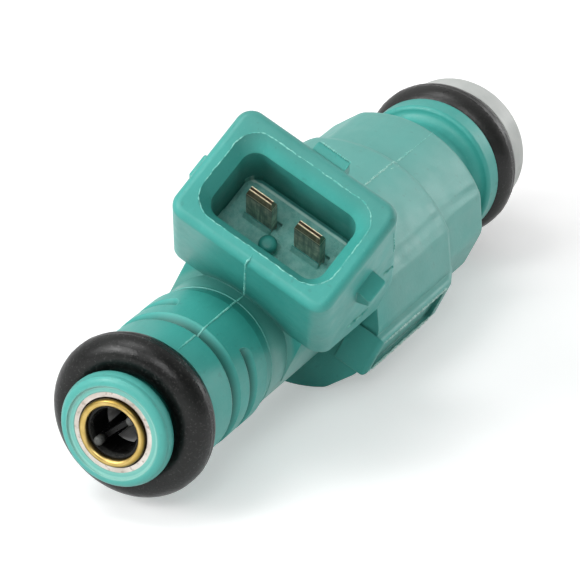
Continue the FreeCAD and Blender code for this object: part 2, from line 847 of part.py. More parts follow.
def needle():
    """Hollow needle between the armature and the ball, with cross holes for the fuel."""
    front = armature_back + needle_grip
    solid = tube(ball_station, front, needle_radius, needle_bore / 2)
    solid = solid.cut(Part.makeSphere(ball_radius, V(ball_station - ball_sink, 0, 0)))
    low = V(guide_station + 5, 0, -2 * needle_radius)
    hole = Part.makeCylinder(0.35, 4 * needle_radius, low, V(0, 0, 1))
    return solid.cut(hole)


def valve_ball():
    """Steel ball that closes the seat."""
    return Part.makeSphere(ball_radius, V(ball_station - ball_sink, 0, 0))


def valve_seat():
    """Seat with a guide bore for the ball, a cone and a throat."""
    centre = ball_station - ball_sink
    half_cone = math.radians(seat_cone)
    touch = ball_radius + contact_gap
    tip = centre - touch / math.sin(half_cone)
    back = -body_tail + plate_thickness
    front = back + seat_length
    guide = ball_radius + running_gap
    wide = tip + guide / math.tan(half_cone)
    narrow = tip + seat_throat / math.tan(half_cone)
    solid = rod(back, front, body_bore / 2)
    space = turned([
        (front + 1, 0),
        (front + 1, guide + 0.3),
        (front - 0.3, guide),
        (wide, guide),
        (narrow, seat_throat),
        (back - 1, seat_throat),
        (back - 1, 0),
    ])
    slots = []
    for step in range(4):
        channel = block(wide + 0.2, front + 1, guide - 0.2, guide + 0.7, -0.4, 0.4)
        channel.rotate(V(0, 0, 0), V(1, 0, 0), step * 90)
        slots.append(channel)
    return solid.cut([space] + slots)


def needle_guide():
    """Disc that centres the needle, with windows for the fuel."""
    disc = tube(guide_station, guide_station + guide_thickness, body_bore / 2, needle_radius + running_gap)
    windows = []
    for step in range(4):
        window = Part.makeCylinder(0.5, guide_thickness + 2, V(guide_station - 1, 2.2, 0), V(1, 0, 0))
        window.rotate(V(0, 0, 0), V(1, 0, 0), step * 90 + 45)
        windows.append(window)
    return disc.cut(windows)


def orifice_plate():
    """Thin plate whose jets meter the spray."""
    plate = rod(-body_tail, -body_tail + plate_thickness, body_bore / 2)
    jets = []
    for step in range(jet_count):
        start = V(-body_tail - 1, jet_circle, 0)
        jet = Part.makeCylinder(jet_radius, plate_thickness + 2, start, V(1, 0, 0))
        jet.rotate(V(0, 0, 0), V(1, 0, 0), step * 360 / jet_count)
        jets.append(jet)
    return plate.cut(jets)


def nozzle_cap():
    """White plastic cap that keeps the outlet seal on and shields the jets."""
    front = -groove_half
    back = front - cap_length
    cap = rod(back, front, cap_radius)
    cap = rounded(cap, cap_round, lambda edge: in_plane(edge, "x", back))
    return cap.cut([rod(-body_tail, front + 1, groove_floor), rod(back - 1, front, cap_mouth)])


# ---- build -------------------------------------------------------------------------------------
body = moulding()
nodes = {
    "housing": body.cut(socket_zone()),
    "socket_shell": body.common(socket_zone()),
    "inlet_seal": seal(seal_spacing),
    "outlet_seal": seal(0),
    "inlet_tube": inlet_tube(),
    "filter_ring": filter_ring(),
    "filter_frame": filter_frame(),
    "filter_mesh": filter_mesh(),
    "adjusting_sleeve": adjusting_sleeve(),
    "return_spring": return_spring(),
    "terminal_left": terminal(-1),
    "terminal_right": terminal(1),
    "coil_lead_left": lead(-1),
    "coil_lead_right": lead(1),
    "coil_bobbin": coil_bobbin(),
    "coil_winding": coil_winding(),
    "pole_washer": pole_washer(),
    "flux_bracket": flux_bracket(),
    "spacer_ring": spacer_ring(),
    "valve_body": valve_body(),
    "armature": armature(),
    "needle": needle(),
    "valve_ball": valve_ball(),
    "valve_seat": valve_seat(),
    "needle_guide": needle_guide(),
    "orifice_plate": orifice_plate(),
    "nozzle_cap": nozzle_cap(),
}
for name, shape in nodes.items():
    shape.rotate(V(0, 0, 0), V(1, 0, 0), -socket_lean)
    shape.exportStep("parts/" + name + ".step")
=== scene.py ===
import math

import bpy
import numpy as np
from mathutils import Matrix, Vector


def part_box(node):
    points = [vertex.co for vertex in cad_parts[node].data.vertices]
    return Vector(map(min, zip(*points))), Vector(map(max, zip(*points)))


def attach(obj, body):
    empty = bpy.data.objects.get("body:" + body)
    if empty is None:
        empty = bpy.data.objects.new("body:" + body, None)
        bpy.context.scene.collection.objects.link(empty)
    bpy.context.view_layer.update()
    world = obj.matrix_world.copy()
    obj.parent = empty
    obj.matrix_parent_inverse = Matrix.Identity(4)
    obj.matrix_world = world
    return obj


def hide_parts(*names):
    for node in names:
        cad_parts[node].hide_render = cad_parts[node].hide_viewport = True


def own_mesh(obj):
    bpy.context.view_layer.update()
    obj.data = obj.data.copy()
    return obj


# A green fuel injector lying on its barrel, on a white table under soft studio light.
# Everything is in metres in the row frame: the origin is the outlet ring's centre and +X runs to the inlet.

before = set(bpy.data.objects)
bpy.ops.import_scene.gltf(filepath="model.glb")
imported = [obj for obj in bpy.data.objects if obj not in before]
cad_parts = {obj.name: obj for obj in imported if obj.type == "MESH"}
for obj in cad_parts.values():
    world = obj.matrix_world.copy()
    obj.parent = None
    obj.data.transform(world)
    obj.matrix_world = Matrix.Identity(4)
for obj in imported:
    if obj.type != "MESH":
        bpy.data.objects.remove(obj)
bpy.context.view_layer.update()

MM = 0.001
LEAN = math.radians(26.5)
TILT = math.radians(41.7)
SOCKET = (47.5, 0.0, 16.56)
INLET_SEAL = 60.65
OUTLET_SEAL = 0.0
TABLE_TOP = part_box("housing")[0][2]

scene = bpy.context.scene
scene.view_settings.view_transform = "Standard"


# ---- where things are --------------------------------------------------------------------------
def lay(points):
    """Millimetres along, across and up in the socket's upright plane, to the row frame's metres:
    across and up are turned together by the lean."""
    c, s = math.cos(LEAN), math.sin(LEAN)
    along, across, up = points[..., 0], points[..., 1], points[..., 2]
    return np.stack((along, across * c + up * s, up * c - across * s), axis=-1) * MM


def from_socket(points):
    """Millimetres across the socket, away from the inlet and out of its mouth, to along, across and up:
    away and out are turned together by the socket's tilt, and the middle of its rim is added."""
    c, s = math.cos(TILT), math.sin(TILT)
    across, away, out = points[..., 0], points[..., 1], points[..., 2]
    return np.stack((out * s - away * c, across, away * s + out * c), axis=-1) + np.array(SOCKET)


# The middle of the socket's rim, then directions: across it, away from the inlet, out of its mouth, along
# the injector, and up in the socket's upright plane. FLAT_ACROSS and FLAT_UP are across and up before the
# lean, for paths that are drawn in millimetres and laid afterwards.
MIDDLE = Vector(lay(np.array(SOCKET)))
ACROSS = Vector(lay(np.array((0.0, 1.0, 0.0)))).normalized()
AWAY = Vector(lay(np.array((-math.cos(TILT), 0.0, math.sin(TILT))))).normalized()
OUT = Vector(lay(np.array((math.sin(TILT), 0.0, math.cos(TILT))))).normalized()
ALONG = Vector((1.0, 0.0, 0.0))
UPRIGHT = Vector(lay(np.array((0.0, 0.0, 1.0)))).normalized()
FLAT_ACROSS = (0.0, 1.0, 0.0)
FLAT_UP = (0.0, 0.0, 1.0)


# ---- camera, table and light -------------------------------------------------------------------
CAMERA_PLACE = Vector((0.42652, 0.19305, 0.19587))
CAMERA_SIDE = math.radians(26.04)
CAMERA_RISE = math.radians(24.06)
SENSOR = 36.0
LENS = 344.2
NEAREST_SEEN = 0.01
FARTHEST_SEEN = 20.0
TABLE_HALF = 3.0
PLAIN_WHITE = (1.0, 1.0, 1.0, 1.0)
MIRROR_SIDE = Vector((-0.76, -0.5, 0.36))
MIRROR_FROM = -0.3
MIRROR_TO = 0.6
LAMP_TARGET = Vector((0.03, 0.0, 0.0))
WORLD_LIGHT = 0.31
MIRROR_LOW = 0.08
MIRROR_HIGH = 0.8
TABLE_PALE = 0.7
TABLE_SEEN = 0.84
TABLE_GLOW = 0.345
LAMPS = (
    ("key_lamp", (0.65, -0.45, 0.45), 0.36, 0.36, 4.2),
    ("top_lamp", (0.26, -0.26, 0.78), 0.36, 0.36, 2.0),
    ("side_lamp", (-0.75, 0.6, 0.25), 0.4, 0.3, 1.9),
    ("back_lamp", (-0.9, 0.35, 0.42), 0.4, 0.4, 1.2),
    ("front_lamp", (0.75, 0.2, 0.56), 0.34, 0.34, 2.2),
)


def looking(toward):
    """Turn that points an object's -Z along toward, with its Y as near upright as it goes."""
    return Vector(toward).to_track_quat("-Z", "Y").to_matrix().to_4x4()


def camera():
    """Long lens, above the inlet's right, looking down the injector."""
    level = math.cos(CAMERA_RISE)
    back = Vector((math.cos(CAMERA_SIDE) * level, math.sin(CAMERA_SIDE) * level, math.sin(CAMERA_RISE)))
    data = bpy.data.cameras.new("camera")
    data.sensor_width = SENSOR
    data.lens = LENS
    data.clip_start = NEAREST_SEEN
    data.clip_end = FARTHEST_SEEN
    eye = bpy.data.objects.new("camera", data)
    scene.collection.objects.link(eye)
    eye.matrix_world = Matrix.Translation(CAMERA_PLACE) @ looking(-back)
    scene.camera = eye


def softbox(name, place, width, height, power):
    """A white rectangular lamp at place, facing the injector."""
    data = bpy.data.lights.new(name, "AREA")
    data.shape = "RECTANGLE"
    data.size = width
    data.size_y = height
    data.energy = power
    lamp = bpy.data.objects.new(name, data)
    scene.collection.objects.link(lamp)
    place = Vector(place)
    lamp.matrix_world = Matrix.Translation(place) @ looking(LAMP_TARGET - place)


def white_path(tree):
    """Two values: 1 for what the camera sees, what mirrors show and what glass lets through, and 0 for light
    given; and 1 for what mirrors show alone."""
    path = tree.nodes.new("ShaderNodeLightPath")
    mirrored = path.outputs["Is Glossy Ray"]
    shown = worked(tree, "MAXIMUM", path.outputs["Is Camera Ray"], mirrored)
    return worked(tree, "MAXIMUM", shown, path.outputs["Is Transmission Ray"]), mirrored


def white_world():
    """White surroundings that light evenly, look white, and are darker to mirrors on one side."""
    world = bpy.data.worlds.new("studio")
    scene.world = world
    world.use_nodes = True
    tree = world.node_tree
    tree.nodes.clear()
    out = tree.nodes.new("ShaderNodeOutputWorld")
    mix = tree.nodes.new("ShaderNodeMixShader")
    lit = tree.nodes.new("ShaderNodeBackground")
    lit.inputs["Color"].default_value = PLAIN_WHITE
    lit.inputs["Strength"].default_value = WORLD_LIGHT
    seen = tree.nodes.new("ShaderNodeBackground")
    seen.inputs["Color"].default_value = PLAIN_WHITE
    white, mirrored = white_path(tree)
    here = tree.nodes.new("ShaderNodeTexCoord")
    side = dotted(tree, here.outputs["Generated"], MIRROR_SIDE, 0.0)
    fall = spread(tree, side, MIRROR_FROM, MIRROR_TO, MIRROR_LOW, MIRROR_HIGH)
    less = worked(tree, "SUBTRACT", fall, 1.0)
    shown = worked(tree, "ADD", times(tree, less, mirrored), 1.0)
    tree.links.new(shown, seen.inputs["Strength"])
    tree.links.new(white, mix.inputs[0])
    tree.links.new(lit.outputs[0], mix.inputs[1])
    tree.links.new(seen.outputs[0], mix.inputs[2])
    tree.links.new(mix.outputs[0], out.inputs[0])


def white_table():
    """White table under the barrel, which takes a true shadow and glows a little where it is seen."""
    mesh = bpy.data.meshes.new("table_top")
    ways = ((-1.0, -1.0), (1.0, -1.0), (1.0, 1.0), (-1.0, 1.0))
    corners = [(TABLE_HALF * x, TABLE_HALF * y, TABLE_TOP) for x, y in ways]
    mesh.from_pydata(corners, [], [(0, 1, 2, 3)])
    table = bpy.data.objects.new("table_top", mesh)
    scene.collection.objects.link(table)
    paint = bpy.data.materials.new("table_white")
    paint.use_nodes = True
    tree = paint.node_tree
    tree.nodes.clear()
    out = tree.nodes.new("ShaderNodeOutputMaterial")
    matt = tree.nodes.new("ShaderNodeBsdfDiffuse")
    seen = white_path(tree)[0]
    shade = times(tree, seen, TABLE_SEEN - TABLE_PALE)
    shade = worked(tree, "ADD", shade, TABLE_PALE)
    tree.links.new(shade, matt.inputs["Color"])
    glow = tree.nodes.new("ShaderNodeEmission")
    glow.inputs["Color"].default_value = PLAIN_WHITE
    tree.links.new(times(tree, seen, TABLE_GLOW), glow.inputs["Strength"])
    both = tree.nodes.new("ShaderNodeAddShader")
    tree.links.new(matt.outputs[0], both.inputs[0])
    tree.links.new(glow.outputs[0], both.inputs[1])
    tree.links.new(both.outputs[0], out.inputs[0])
    mesh.materials.append(paint)


def studio():
    """White world, white table, and the lamps around the injector."""
    white_world()
    white_table()
    for name, place, width, height, power in LAMPS:
        softbox(name, place, width, height, power)


# ---- finishes ----------------------------------------------------------------------------------
# Numbers of the mix node's colour sockets; how many rays the edge and recess nodes send out; and the plain
# metals' and plastics' cloud scale, with the depth of the metals' pits in metres.
MIX_FIRST = 6
MIX_SECOND = 7
MIX_RESULT = 2
EDGE_RAYS = 6
OPEN_RAYS = 8
METAL_CLOUD = 400.0
METAL_PIT = 0.00001
PLASTIC_CLOUD = 300.0


def finish_start(name, **sockets):
    """A material with one shader, its constant inputs set on the shader's own sockets."""
    paint = bpy.data.materials.new(name)
    paint.use_nodes = True
    tree = paint.node_tree
    tree.nodes.clear()
    out = tree.nodes.new("ShaderNodeOutputMaterial")
    shader = tree.nodes.new("ShaderNodeBsdfPrincipled")
    for key, value in sockets.items():
        shader.inputs[key.replace("_", " ")].default_value = value
    tree.links.new(shader.outputs[0], out.inputs[0])
    return paint, tree, shader


def place_from(tree):
    """Object coordinates."""
    return tree.nodes.new("ShaderNodeTexCoord").outputs["Object"]


def grain(tree, place, scale, detail=3.0, rough=0.55):
    """Cloudy noise, about 1/scale metres across."""
    made = tree.nodes.new("ShaderNodeTexNoise")
    made.inputs["Scale"].default_value = scale
    made.inputs["Detail"].default_value = detail
    made.inputs["Roughness"].default_value = rough
    tree.links.new(place, made.inputs["Vector"])
    return made.outputs["Fac"]


def spread(tree, value, low, high, to_low, to_high):
    """value stretched from low..high to to_low..to_high, and held there."""
    made = tree.nodes.new("ShaderNodeMapRange")
    made.clamp = True
    made.inputs["From Min"].default_value = low
    made.inputs["From Max"].default_value = high
    made.inputs["To Min"].default_value = to_low
    made.inputs["To Max"].default_value = to_high
    tree.links.new(value, made.inputs["Value"])
    return made.outputs["Result"]


def blend_colour(tree, share, first, second):
    """Colour that goes from first to second with share. Either may be a colour or a link."""
    made = tree.nodes.new("ShaderNodeMix")
    made.data_type = "RGBA"
    tree.links.new(share, made.inputs["Factor"])
    for socket, value in ((made.inputs[MIX_FIRST], first), (made.inputs[MIX_SECOND], second)):
        if isinstance(value, tuple):
            socket.default_value = value
        else:
            tree.links.new(value, socket)
    return made.outputs[MIX_RESULT]


def bumped(tree, height, distance, strength=1.0, under=None):
    """Normal bent by height, distance metres deep, on top of the normal under."""
    made = tree.nodes.new("ShaderNodeBump")
    made.inputs["Strength"].default_value = strength
    made.inputs["Distance"].default_value = distance
    tree.links.new(height, made.inputs["Height"])
    if under is not None:
        tree.links.new(under, made.inputs["Normal"])
    return made.outputs[0]


def worked(tree, operation, first, second):
    """Arithmetic on two values. Either may be a number or a link."""
    made = tree.nodes.new("ShaderNodeMath")
    made.operation = operation
    for socket, value in ((made.inputs[0], first), (made.inputs[1], second)):
        if isinstance(value, float):
            socket.default_value = value
        else:
            tree.links.new(value, socket)
    return made.outputs[0]


def times(tree, first, second):
    """first times second."""
    return worked(tree, "MULTIPLY", first, second)


def dotted(tree, place, direction, start):
    """Distance of place along direction, counted from start."""
    made = tree.nodes.new("ShaderNodeVectorMath")
    made.operation = "DOT_PRODUCT"
    tree.links.new(place, made.inputs[0])
    made.inputs[1].default_value = direction
    return worked(tree, "SUBTRACT", made.outputs["Value"], start)


def from_axis(tree, place):
    """Distance of place from the injector's own axis."""
    flat = tree.nodes.new("ShaderNodeVectorMath")
    flat.operation = "MULTIPLY"
    tree.links.new(place, flat.inputs[0])
    flat.inputs[1].default_value = (0.0, 1.0, 1.0)
    made = tree.nodes.new("ShaderNodeVectorMath")
    made.operation = "LENGTH"
    tree.links.new(flat.outputs[0], made.inputs[0])
    return made.outputs["Value"]


def inside(tree, value, low, high, soft):
    """1 where value lies between low and high, falling to 0 over soft on both sides."""
    rise = spread(tree, value, low - soft, low, 0.0, 1.0)
    return times(tree, rise, spread(tree, value, high, high + soft, 1.0, 0.0))


def streak_place(tree, place, long_way, stretch):
    """place squeezed along long_way by stretch, so that noise on it runs in streaks that way."""
    along = dotted(tree, place, long_way, 0.0)
    scaled = tree.nodes.new("ShaderNodeVectorMath")
    scaled.operation = "SCALE"
    scaled.inputs[0].default_value = long_way
    tree.links.new(times(tree, along, 1.0 - stretch), scaled.inputs["Scale"])
    left = tree.nodes.new("ShaderNodeVectorMath")
    left.operation = "SUBTRACT"
    tree.links.new(place, left.inputs[0])
    tree.links.new(scaled.outputs[0], left.inputs[1])
    return left.outputs[0]


def soft_edges(tree, radius):
    """The normal with every edge rounded off by radius, and how near to an edge the surface is."""
    round_off = tree.nodes.new("ShaderNodeBevel")
    round_off.samples = EDGE_RAYS
    round_off.inputs["Radius"].default_value = radius
    facing = tree.nodes.new("ShaderNodeNewGeometry")
    made = tree.nodes.new("ShaderNodeVectorMath")
    made.operation = "DOT_PRODUCT"
    tree.links.new(round_off.outputs[0], made.inputs[0])
    tree.links.new(facing.outputs["Normal"], made.inputs[1])
    return round_off.outputs[0], spread(tree, made.outputs["Value"], 0.97, 0.84, 0.0, 1.0)


def hidden(tree, reach, low, high):
    """How far things within reach close the surface in: 1 where the open share is under low, 0 where it is
    over high."""
    made = tree.nodes.new("ShaderNodeAmbientOcclusion")
    made.samples = OPEN_RAYS
    made.inputs["Distance"].default_value = reach
    return spread(tree, made.outputs["AO"], low, high, 1.0, 0.0)


def line_near(tree, place, start, end, width):
    """1 on the straight line from start to end, falling to 0 at width from it and towards both ends."""
    start = Vector(lay(np.array(start)))
    end = Vector(lay(np.array(end)))
    run = end - start
    heading = run.normalized()
    along = dotted(tree, place, heading, start.dot(heading))
    there = tree.nodes.new("ShaderNodeVectorMath")
    there.operation = "SCALE"
    there.inputs[0].default_value = heading
    tree.links.new(along, there.inputs["Scale"])
    away = tree.nodes.new("ShaderNodeVectorMath")
    away.operation = "SUBTRACT"
    tree.links.new(place, away.inputs[0])
    away.inputs[1].default_value = start
    off = tree.nodes.new("ShaderNodeVectorMath")
    off.operation = "DISTANCE"
    tree.links.new(away.outputs[0], off.inputs[0])
    tree.links.new(there.outputs[0], off.inputs[1])
    near = spread(tree, off.outputs["Value"], 0.0, width * MM, 1.0, 0.0)
    near.node.interpolation_type = "SMOOTHSTEP"
    return times(tree, near, inside(tree, along, 1.0 * MM, run.length - 1.0 * MM, 1.5 * MM))


GREEN_DEEP = (0.03, 0.32, 0.28, 1.0)
GREEN_PALE = (0.042, 0.38, 0.335, 1.0)
GREEN_STREAK = (0.06, 0.44, 0.39, 1.0)
FLASH_DEEP = (0.06, 0.42, 0.37, 1.0)
FLASH_PALE = (0.26, 0.66, 0.58, 1.0)
BLADE_DARK = (0.24, 0.21, 0.15, 1.0)
BLADE_PALE = (0.66, 0.62, 0.5, 1.0)
GREEN_FLECK = (0.16, 0.5, 0.44, 1.0)
# Dark green of the specks, also used as a painted shade line on the socket's floor.
GREEN_SPECK_AND_SHADE = (0.02, 0.2, 0.17, 1.0)
# Paler green for edges: partly wear, partly painted highlight.
GREEN_WEAR_AND_HIGHLIGHT = (0.3, 0.62, 0.55, 1.0)
GREEN_FLOOR = (0.32, 0.66, 0.6, 1.0)
# Painted highlight line on the socket's floor.
GREEN_FLOOR_EDGE_HIGHLIGHT = (0.55, 0.8, 0.74, 1.0)
# Whitish green, painted on as sheen on the barrel and as light on the stem.
GREEN_PAINTED_SHEEN = (0.35, 0.5, 0.46, 1.0)
# Painted light on the collar and lip.
GREEN_END_LIGHT = (0.14, 0.52, 0.46, 1.0)
# Painted shade on the socket's far rim.
GREEN_RIM_SHADE = (0.09, 0.2, 0.18, 1.0)
# Painted shade in the neck's notch and slots.
GREEN_GROOVE_SHADE = (0.006, 0.12, 0.1, 1.0)
# Painted shade in recesses.
GREEN_RECESS_SHADE = (0.006, 0.16, 0.135, 1.0)
DISH_HALO = (0.3, 0.64, 0.56, 1.0)
# Painted light on the dish's wall.
DISH_WALL_LIGHT = (0.5, 0.8, 0.72, 1.0)
FLASH_BARREL = (0.55, 0.7, 0.62, 1.0)
FLASH_LOW = (0.6, 0.86, 0.8, 1.0)
RUBBER_DEEP = (0.002, 0.0022, 0.002, 1.0)
RUBBER_BLOOM = (0.008, 0.0092, 0.0084, 1.0)
RUBBER_DUST = (0.06, 0.06, 0.058, 1.0)
# Painted light on the outlet ring.
RUBBER_FAR_LIGHT = (0.03, 0.03, 0.029, 1.0)
RUBBER_TORN = (0.16, 0.16, 0.155, 1.0)
STEEL_DARK = (0.6, 0.54, 0.48, 1.0)
STEEL_PALE = (0.8, 0.75, 0.7, 1.0)
STEEL_SPOT = (0.4, 0.34, 0.28, 1.0)
# Painted shade in the crease between steel and brass.
STEEL_CREASE_SHADE = (0.1, 0.06, 0.02, 1.0)
BRASS_DARK = (0.58, 0.41, 0.12, 1.0)
BRASS_PALE = (0.8, 0.6, 0.24, 1.0)
# Painted shade on the brass ring: its outer half, its foot against the steel and its inner edge.
BRASS_OUTER_SHADE = (0.25, 0.16, 0.03, 1.0)
BRASS_FOOT_SHADE = (0.05, 0.03, 0.008, 1.0)
BRASS_INNER_SHADE = (0.16, 0.12, 0.05, 1.0)
BLADE_CLOUD = (0.12, 0.11, 0.09, 1.0)
BLADE_COINED = (0.2, 0.15, 0.08, 1.0)
# Blade marks: a painted shade line, a painted highlight line, the end face painted dark as shade, and
# painted highlights along its long edges.
BLADE_CREASE_SHADE = (0.03, 0.025, 0.02, 1.0)
BLADE_SHINE = (0.95, 0.86, 0.64, 1.0)
BLADE_TIP_SHADE = (0.03, 0.02, 0.01, 1.0)
BLADE_EDGE_HIGHLIGHT = (1.0, 0.86, 0.58, 1.0)
BASKET_DEEP = (0.002, 0.002, 0.002, 1.0)
BASKET_PALE = (0.006, 0.006, 0.006, 1.0)
# Grey painted light on the basket's front end and lugs.
BASKET_MOUTH_LIGHT = (0.12, 0.125, 0.12, 1.0)
CLOTH_DARK = (0.9, 0.9, 0.88, 1.0)
CLOTH_PALE = (0.96, 0.96, 0.94, 1.0)
CLOTH_THREAD = (0.4, 0.4, 0.39, 1.0)
# Sink lines and the ridges beside them on the barrel's near flank, each from one end to the other.
FLANK_VALLEYS = (
    ((20.2, 5.93, 6.45), (8.9, 6.03, 5.4)),
    ((18.6, 6.07, 6.42), (28.6, 6.14, 6.34)),
)
FLANK_RIDGES = (
    ((19.6, 4.7, 7.15), (8.9, 5.6, 5.8)),
    ((15.0, 7.0, 4.6), (28.0, 7.4, 5.4)),
)


def moulded_green():
    """Sea-green filled nylon: cloudy colour, flow streaks, pale and dark specks, a fine satin skin, paler
    edges that are partly wear and partly painted highlight, a painted whitish sheen on the barrel, painted
    light on the stem and on the inlet end, a pale dish in the inlet end with painted light on its wall,
    painted shade in recesses, in the neck's notch and slots and on the socket's far rim, a painted shade
    line and a painted highlight line at the foot of the socket's far wall, shallow sink lines along the
    barrel's flank, and a rougher, paler floor in the socket."""
    paint, tree, shader = finish_start("green_plastic", Roughness=0.42, IOR=1.5)
    place = place_from(tree)
    edge_normal, edge = soft_edges(tree, 0.14 * MM)
    cloud = spread(tree, grain(tree, place, 160.0, 4.0), 0.35, 0.65, 0.0, 1.0)
    colour = blend_colour(tree, cloud, GREEN_DEEP, GREEN_PALE)
    flow = grain(tree, streak_place(tree, place, ALONG, 0.12), 1500.0, 3.0)
    colour = blend_colour(tree, spread(tree, flow, 0.52, 0.75, 0.0, 0.3), colour, GREEN_STREAK)
    fleck = spread(tree, grain(tree, place, 3800.0, 2.0), 0.64, 0.74, 0.0, 0.22)
    colour = blend_colour(tree, fleck, colour, GREEN_FLECK)
    speck = spread(tree, grain(tree, place, 1700.0, 1.0), 0.25, 0.32, 0.4, 0.0)
    colour = blend_colour(tree, speck, colour, GREEN_SPECK_AND_SHADE)
    patchy = spread(tree, grain(tree, place, 900.0, 4.0), 0.42, 0.62, 0.1, 0.75)
    # Paler edges: partly wear, partly painted highlight, with more painted highlight low down by the wings.
    edge_wear_and_highlight = times(tree, edge, patchy)
    height = dotted(tree, place, OUT, MIDDLE.dot(OUT))
    away = dotted(tree, place, AWAY, MIDDLE.dot(AWAY))
    along = dotted(tree, place, ALONG, 0.0)
    wear_and_highlight_reach = spread(tree, along, 16.0 * MM, 32.0 * MM, 0.25, 1.0)
    rise = dotted(tree, place, UPRIGHT, 0.0)
    wear_and_highlight_reach = worked(tree, "MAXIMUM", wear_and_highlight_reach, spread(tree, rise, 2.0 * MM, 4.0 * MM, 1.0, 0.0))
    colour = blend_colour(tree, times(tree, edge_wear_and_highlight, wear_and_highlight_reach), colour, GREEN_WEAR_AND_HIGHLIGHT)
    inner = times(
        tree,
        inside(tree, dotted(tree, place, ACROSS, MIDDLE.dot(ACROSS)), -5.66 * MM, 5.66 * MM, 0.02 * MM),
        inside(tree, away, -3.5 * MM, 3.1 * MM, 0.02 * MM),
    )
    floor = times(tree, inner, inside(tree, height, -8.4 * MM, -7.2 * MM, 0.1 * MM))
    worn_floor = spread(tree, grain(tree, place, 1300.0, 5.0, 0.7), 0.4, 0.62, 0.55, 1.0)
    colour = blend_colour(tree, times(tree, floor, worn_floor), colour, GREEN_FLOOR)
    # A painted shade line and a painted highlight line on the socket's floor near the foot of its far wall.
    floor_edge_shade = inside(tree, away, 2.86 * MM, 3.2 * MM, 0.08 * MM)
    colour = blend_colour(tree, times(tree, floor, floor_edge_shade), colour, GREEN_SPECK_AND_SHADE)
    floor_edge_highlight = inside(tree, away, 2.6 * MM, 2.72 * MM, 0.08 * MM)
    colour = blend_colour(tree, times(tree, floor, floor_edge_highlight), colour, GREEN_FLOOR_EDGE_HIGHLIGHT)
    # Painted sheen: the barrel blended towards whitish green, in place of its reflection of the white
    # surroundings.
    barrel_sheen = times(tree, inside(tree, along, 9.0 * MM, 29.0 * MM, 3.0 * MM), 0.24)
    colour = blend_colour(tree, barrel_sheen, colour, GREEN_PAINTED_SHEEN)
    # Painted light: the collar and lip paler towards the inlet.
    end_light = spread(tree, along, 55.1 * MM, 62.9 * MM, 0.18, 0.4)
    colour = blend_colour(tree, end_light, colour, GREEN_END_LIGHT)
    radius = from_axis(tree, place)
    # Painted light: the stem under the socket blended towards the same whitish green.
    stem = times(
        tree,
        inside(tree, along, 35.0 * MM, 46.5 * MM, 1.5 * MM),
        spread(tree, radius, 6.4 * MM, 6.8 * MM, 0.35, 0.0),
    )
    colour = blend_colour(tree, stem, colour, GREEN_PAINTED_SHEEN)
    # Painted shade: the rim face darker and greyer towards its far side.
    far_rim_shade = spread(tree, away, 1.0 * MM, 5.0 * MM, 0.0, 0.35)
    far_rim_shade = times(tree, far_rim_shade, spread(tree, height, -1.0 * MM, -0.3 * MM, 0.0, 1.0))
    colour = blend_colour(tree, far_rim_shade, colour, GREEN_RIM_SHADE)
    # Painted shade low in the notch behind the collar and in the clip slots.
    groove_shade = inside(tree, along, 50.4 * MM, 55.15 * MM, 0.05 * MM)
    groove_shade = times(tree, groove_shade, spread(tree, radius, 5.8 * MM, 6.25 * MM, 0.9, 0.0))
    colour = blend_colour(tree, groove_shade, colour, GREEN_GROOVE_SHADE)
    mouth = spread(tree, along, 64.1 * MM, 64.3 * MM, 0.0, 1.0)
    shown = worked(tree, "MAXIMUM", mouth, times(tree, floor, 0.95))
    # Painted shade wherever the surface is closed in, except on the inlet's face and the socket's floor.
    deep = times(tree, hidden(tree, 5.0 * MM, 0.15, 0.7), 0.85)
    deep = times(tree, deep, worked(tree, "SUBTRACT", 1.0, shown))
    colour = blend_colour(tree, deep, colour, GREEN_RECESS_SHADE)
    halo = times(tree, mouth, spread(tree, radius, 3.62 * MM, 4.4 * MM, 0.6, 0.0))
    colour = blend_colour(tree, halo, colour, DISH_HALO)
    # Painted light on the dish's wall, softening the shade along it.
    dish_wall_light = times(tree, mouth, inside(tree, radius, 4.0 * MM, 4.16 * MM, 0.1 * MM))
    colour = blend_colour(tree, times(tree, dish_wall_light, 0.4), colour, DISH_WALL_LIGHT)
    tree.links.new(colour, shader.inputs["Base Color"])
    skin = spread(tree, grain(tree, place, 700.0, 4.0), 0.3, 0.7, 0.38, 0.5)
    skin = worked(tree, "ADD", skin, times(tree, floor, 0.25))
    tree.links.new(skin, shader.inputs["Roughness"])
    shape = bumped(tree, grain(tree, place, 200.0, 2.0), 0.00008, 0.4, edge_normal)
    hollow = None
    for start, end in FLANK_VALLEYS:
        line = line_near(tree, place, start, end, 0.7)
        hollow = line if hollow is None else worked(tree, "ADD", hollow, line)
    for start, end in FLANK_RIDGES:
        ridge = times(tree, line_near(tree, place, start, end, 0.6), 0.7)
        hollow = worked(tree, "SUBTRACT", hollow, ridge)
    shape = bumped(tree, times(tree, hollow, -1.0), 0.00006, 1.0, shape)
    dish = times(tree, mouth, spread(tree, radius, 4.1 * MM, 4.75 * MM, 0.0, 1.0))
    shape = bumped(tree, dish, 0.00009, 1.0, shape)
    rough_floor = times(tree, floor, grain(tree, place, 1500.0, 5.0, 0.7))
    shape = bumped(tree, rough_floor, 0.0003, 1.0, shape)
    shape = bumped(tree, grain(tree, place, 3600.0, 3.0), 0.00002, 0.6, shape)
    tree.links.new(shape, shader.inputs["Normal"])
    return paint


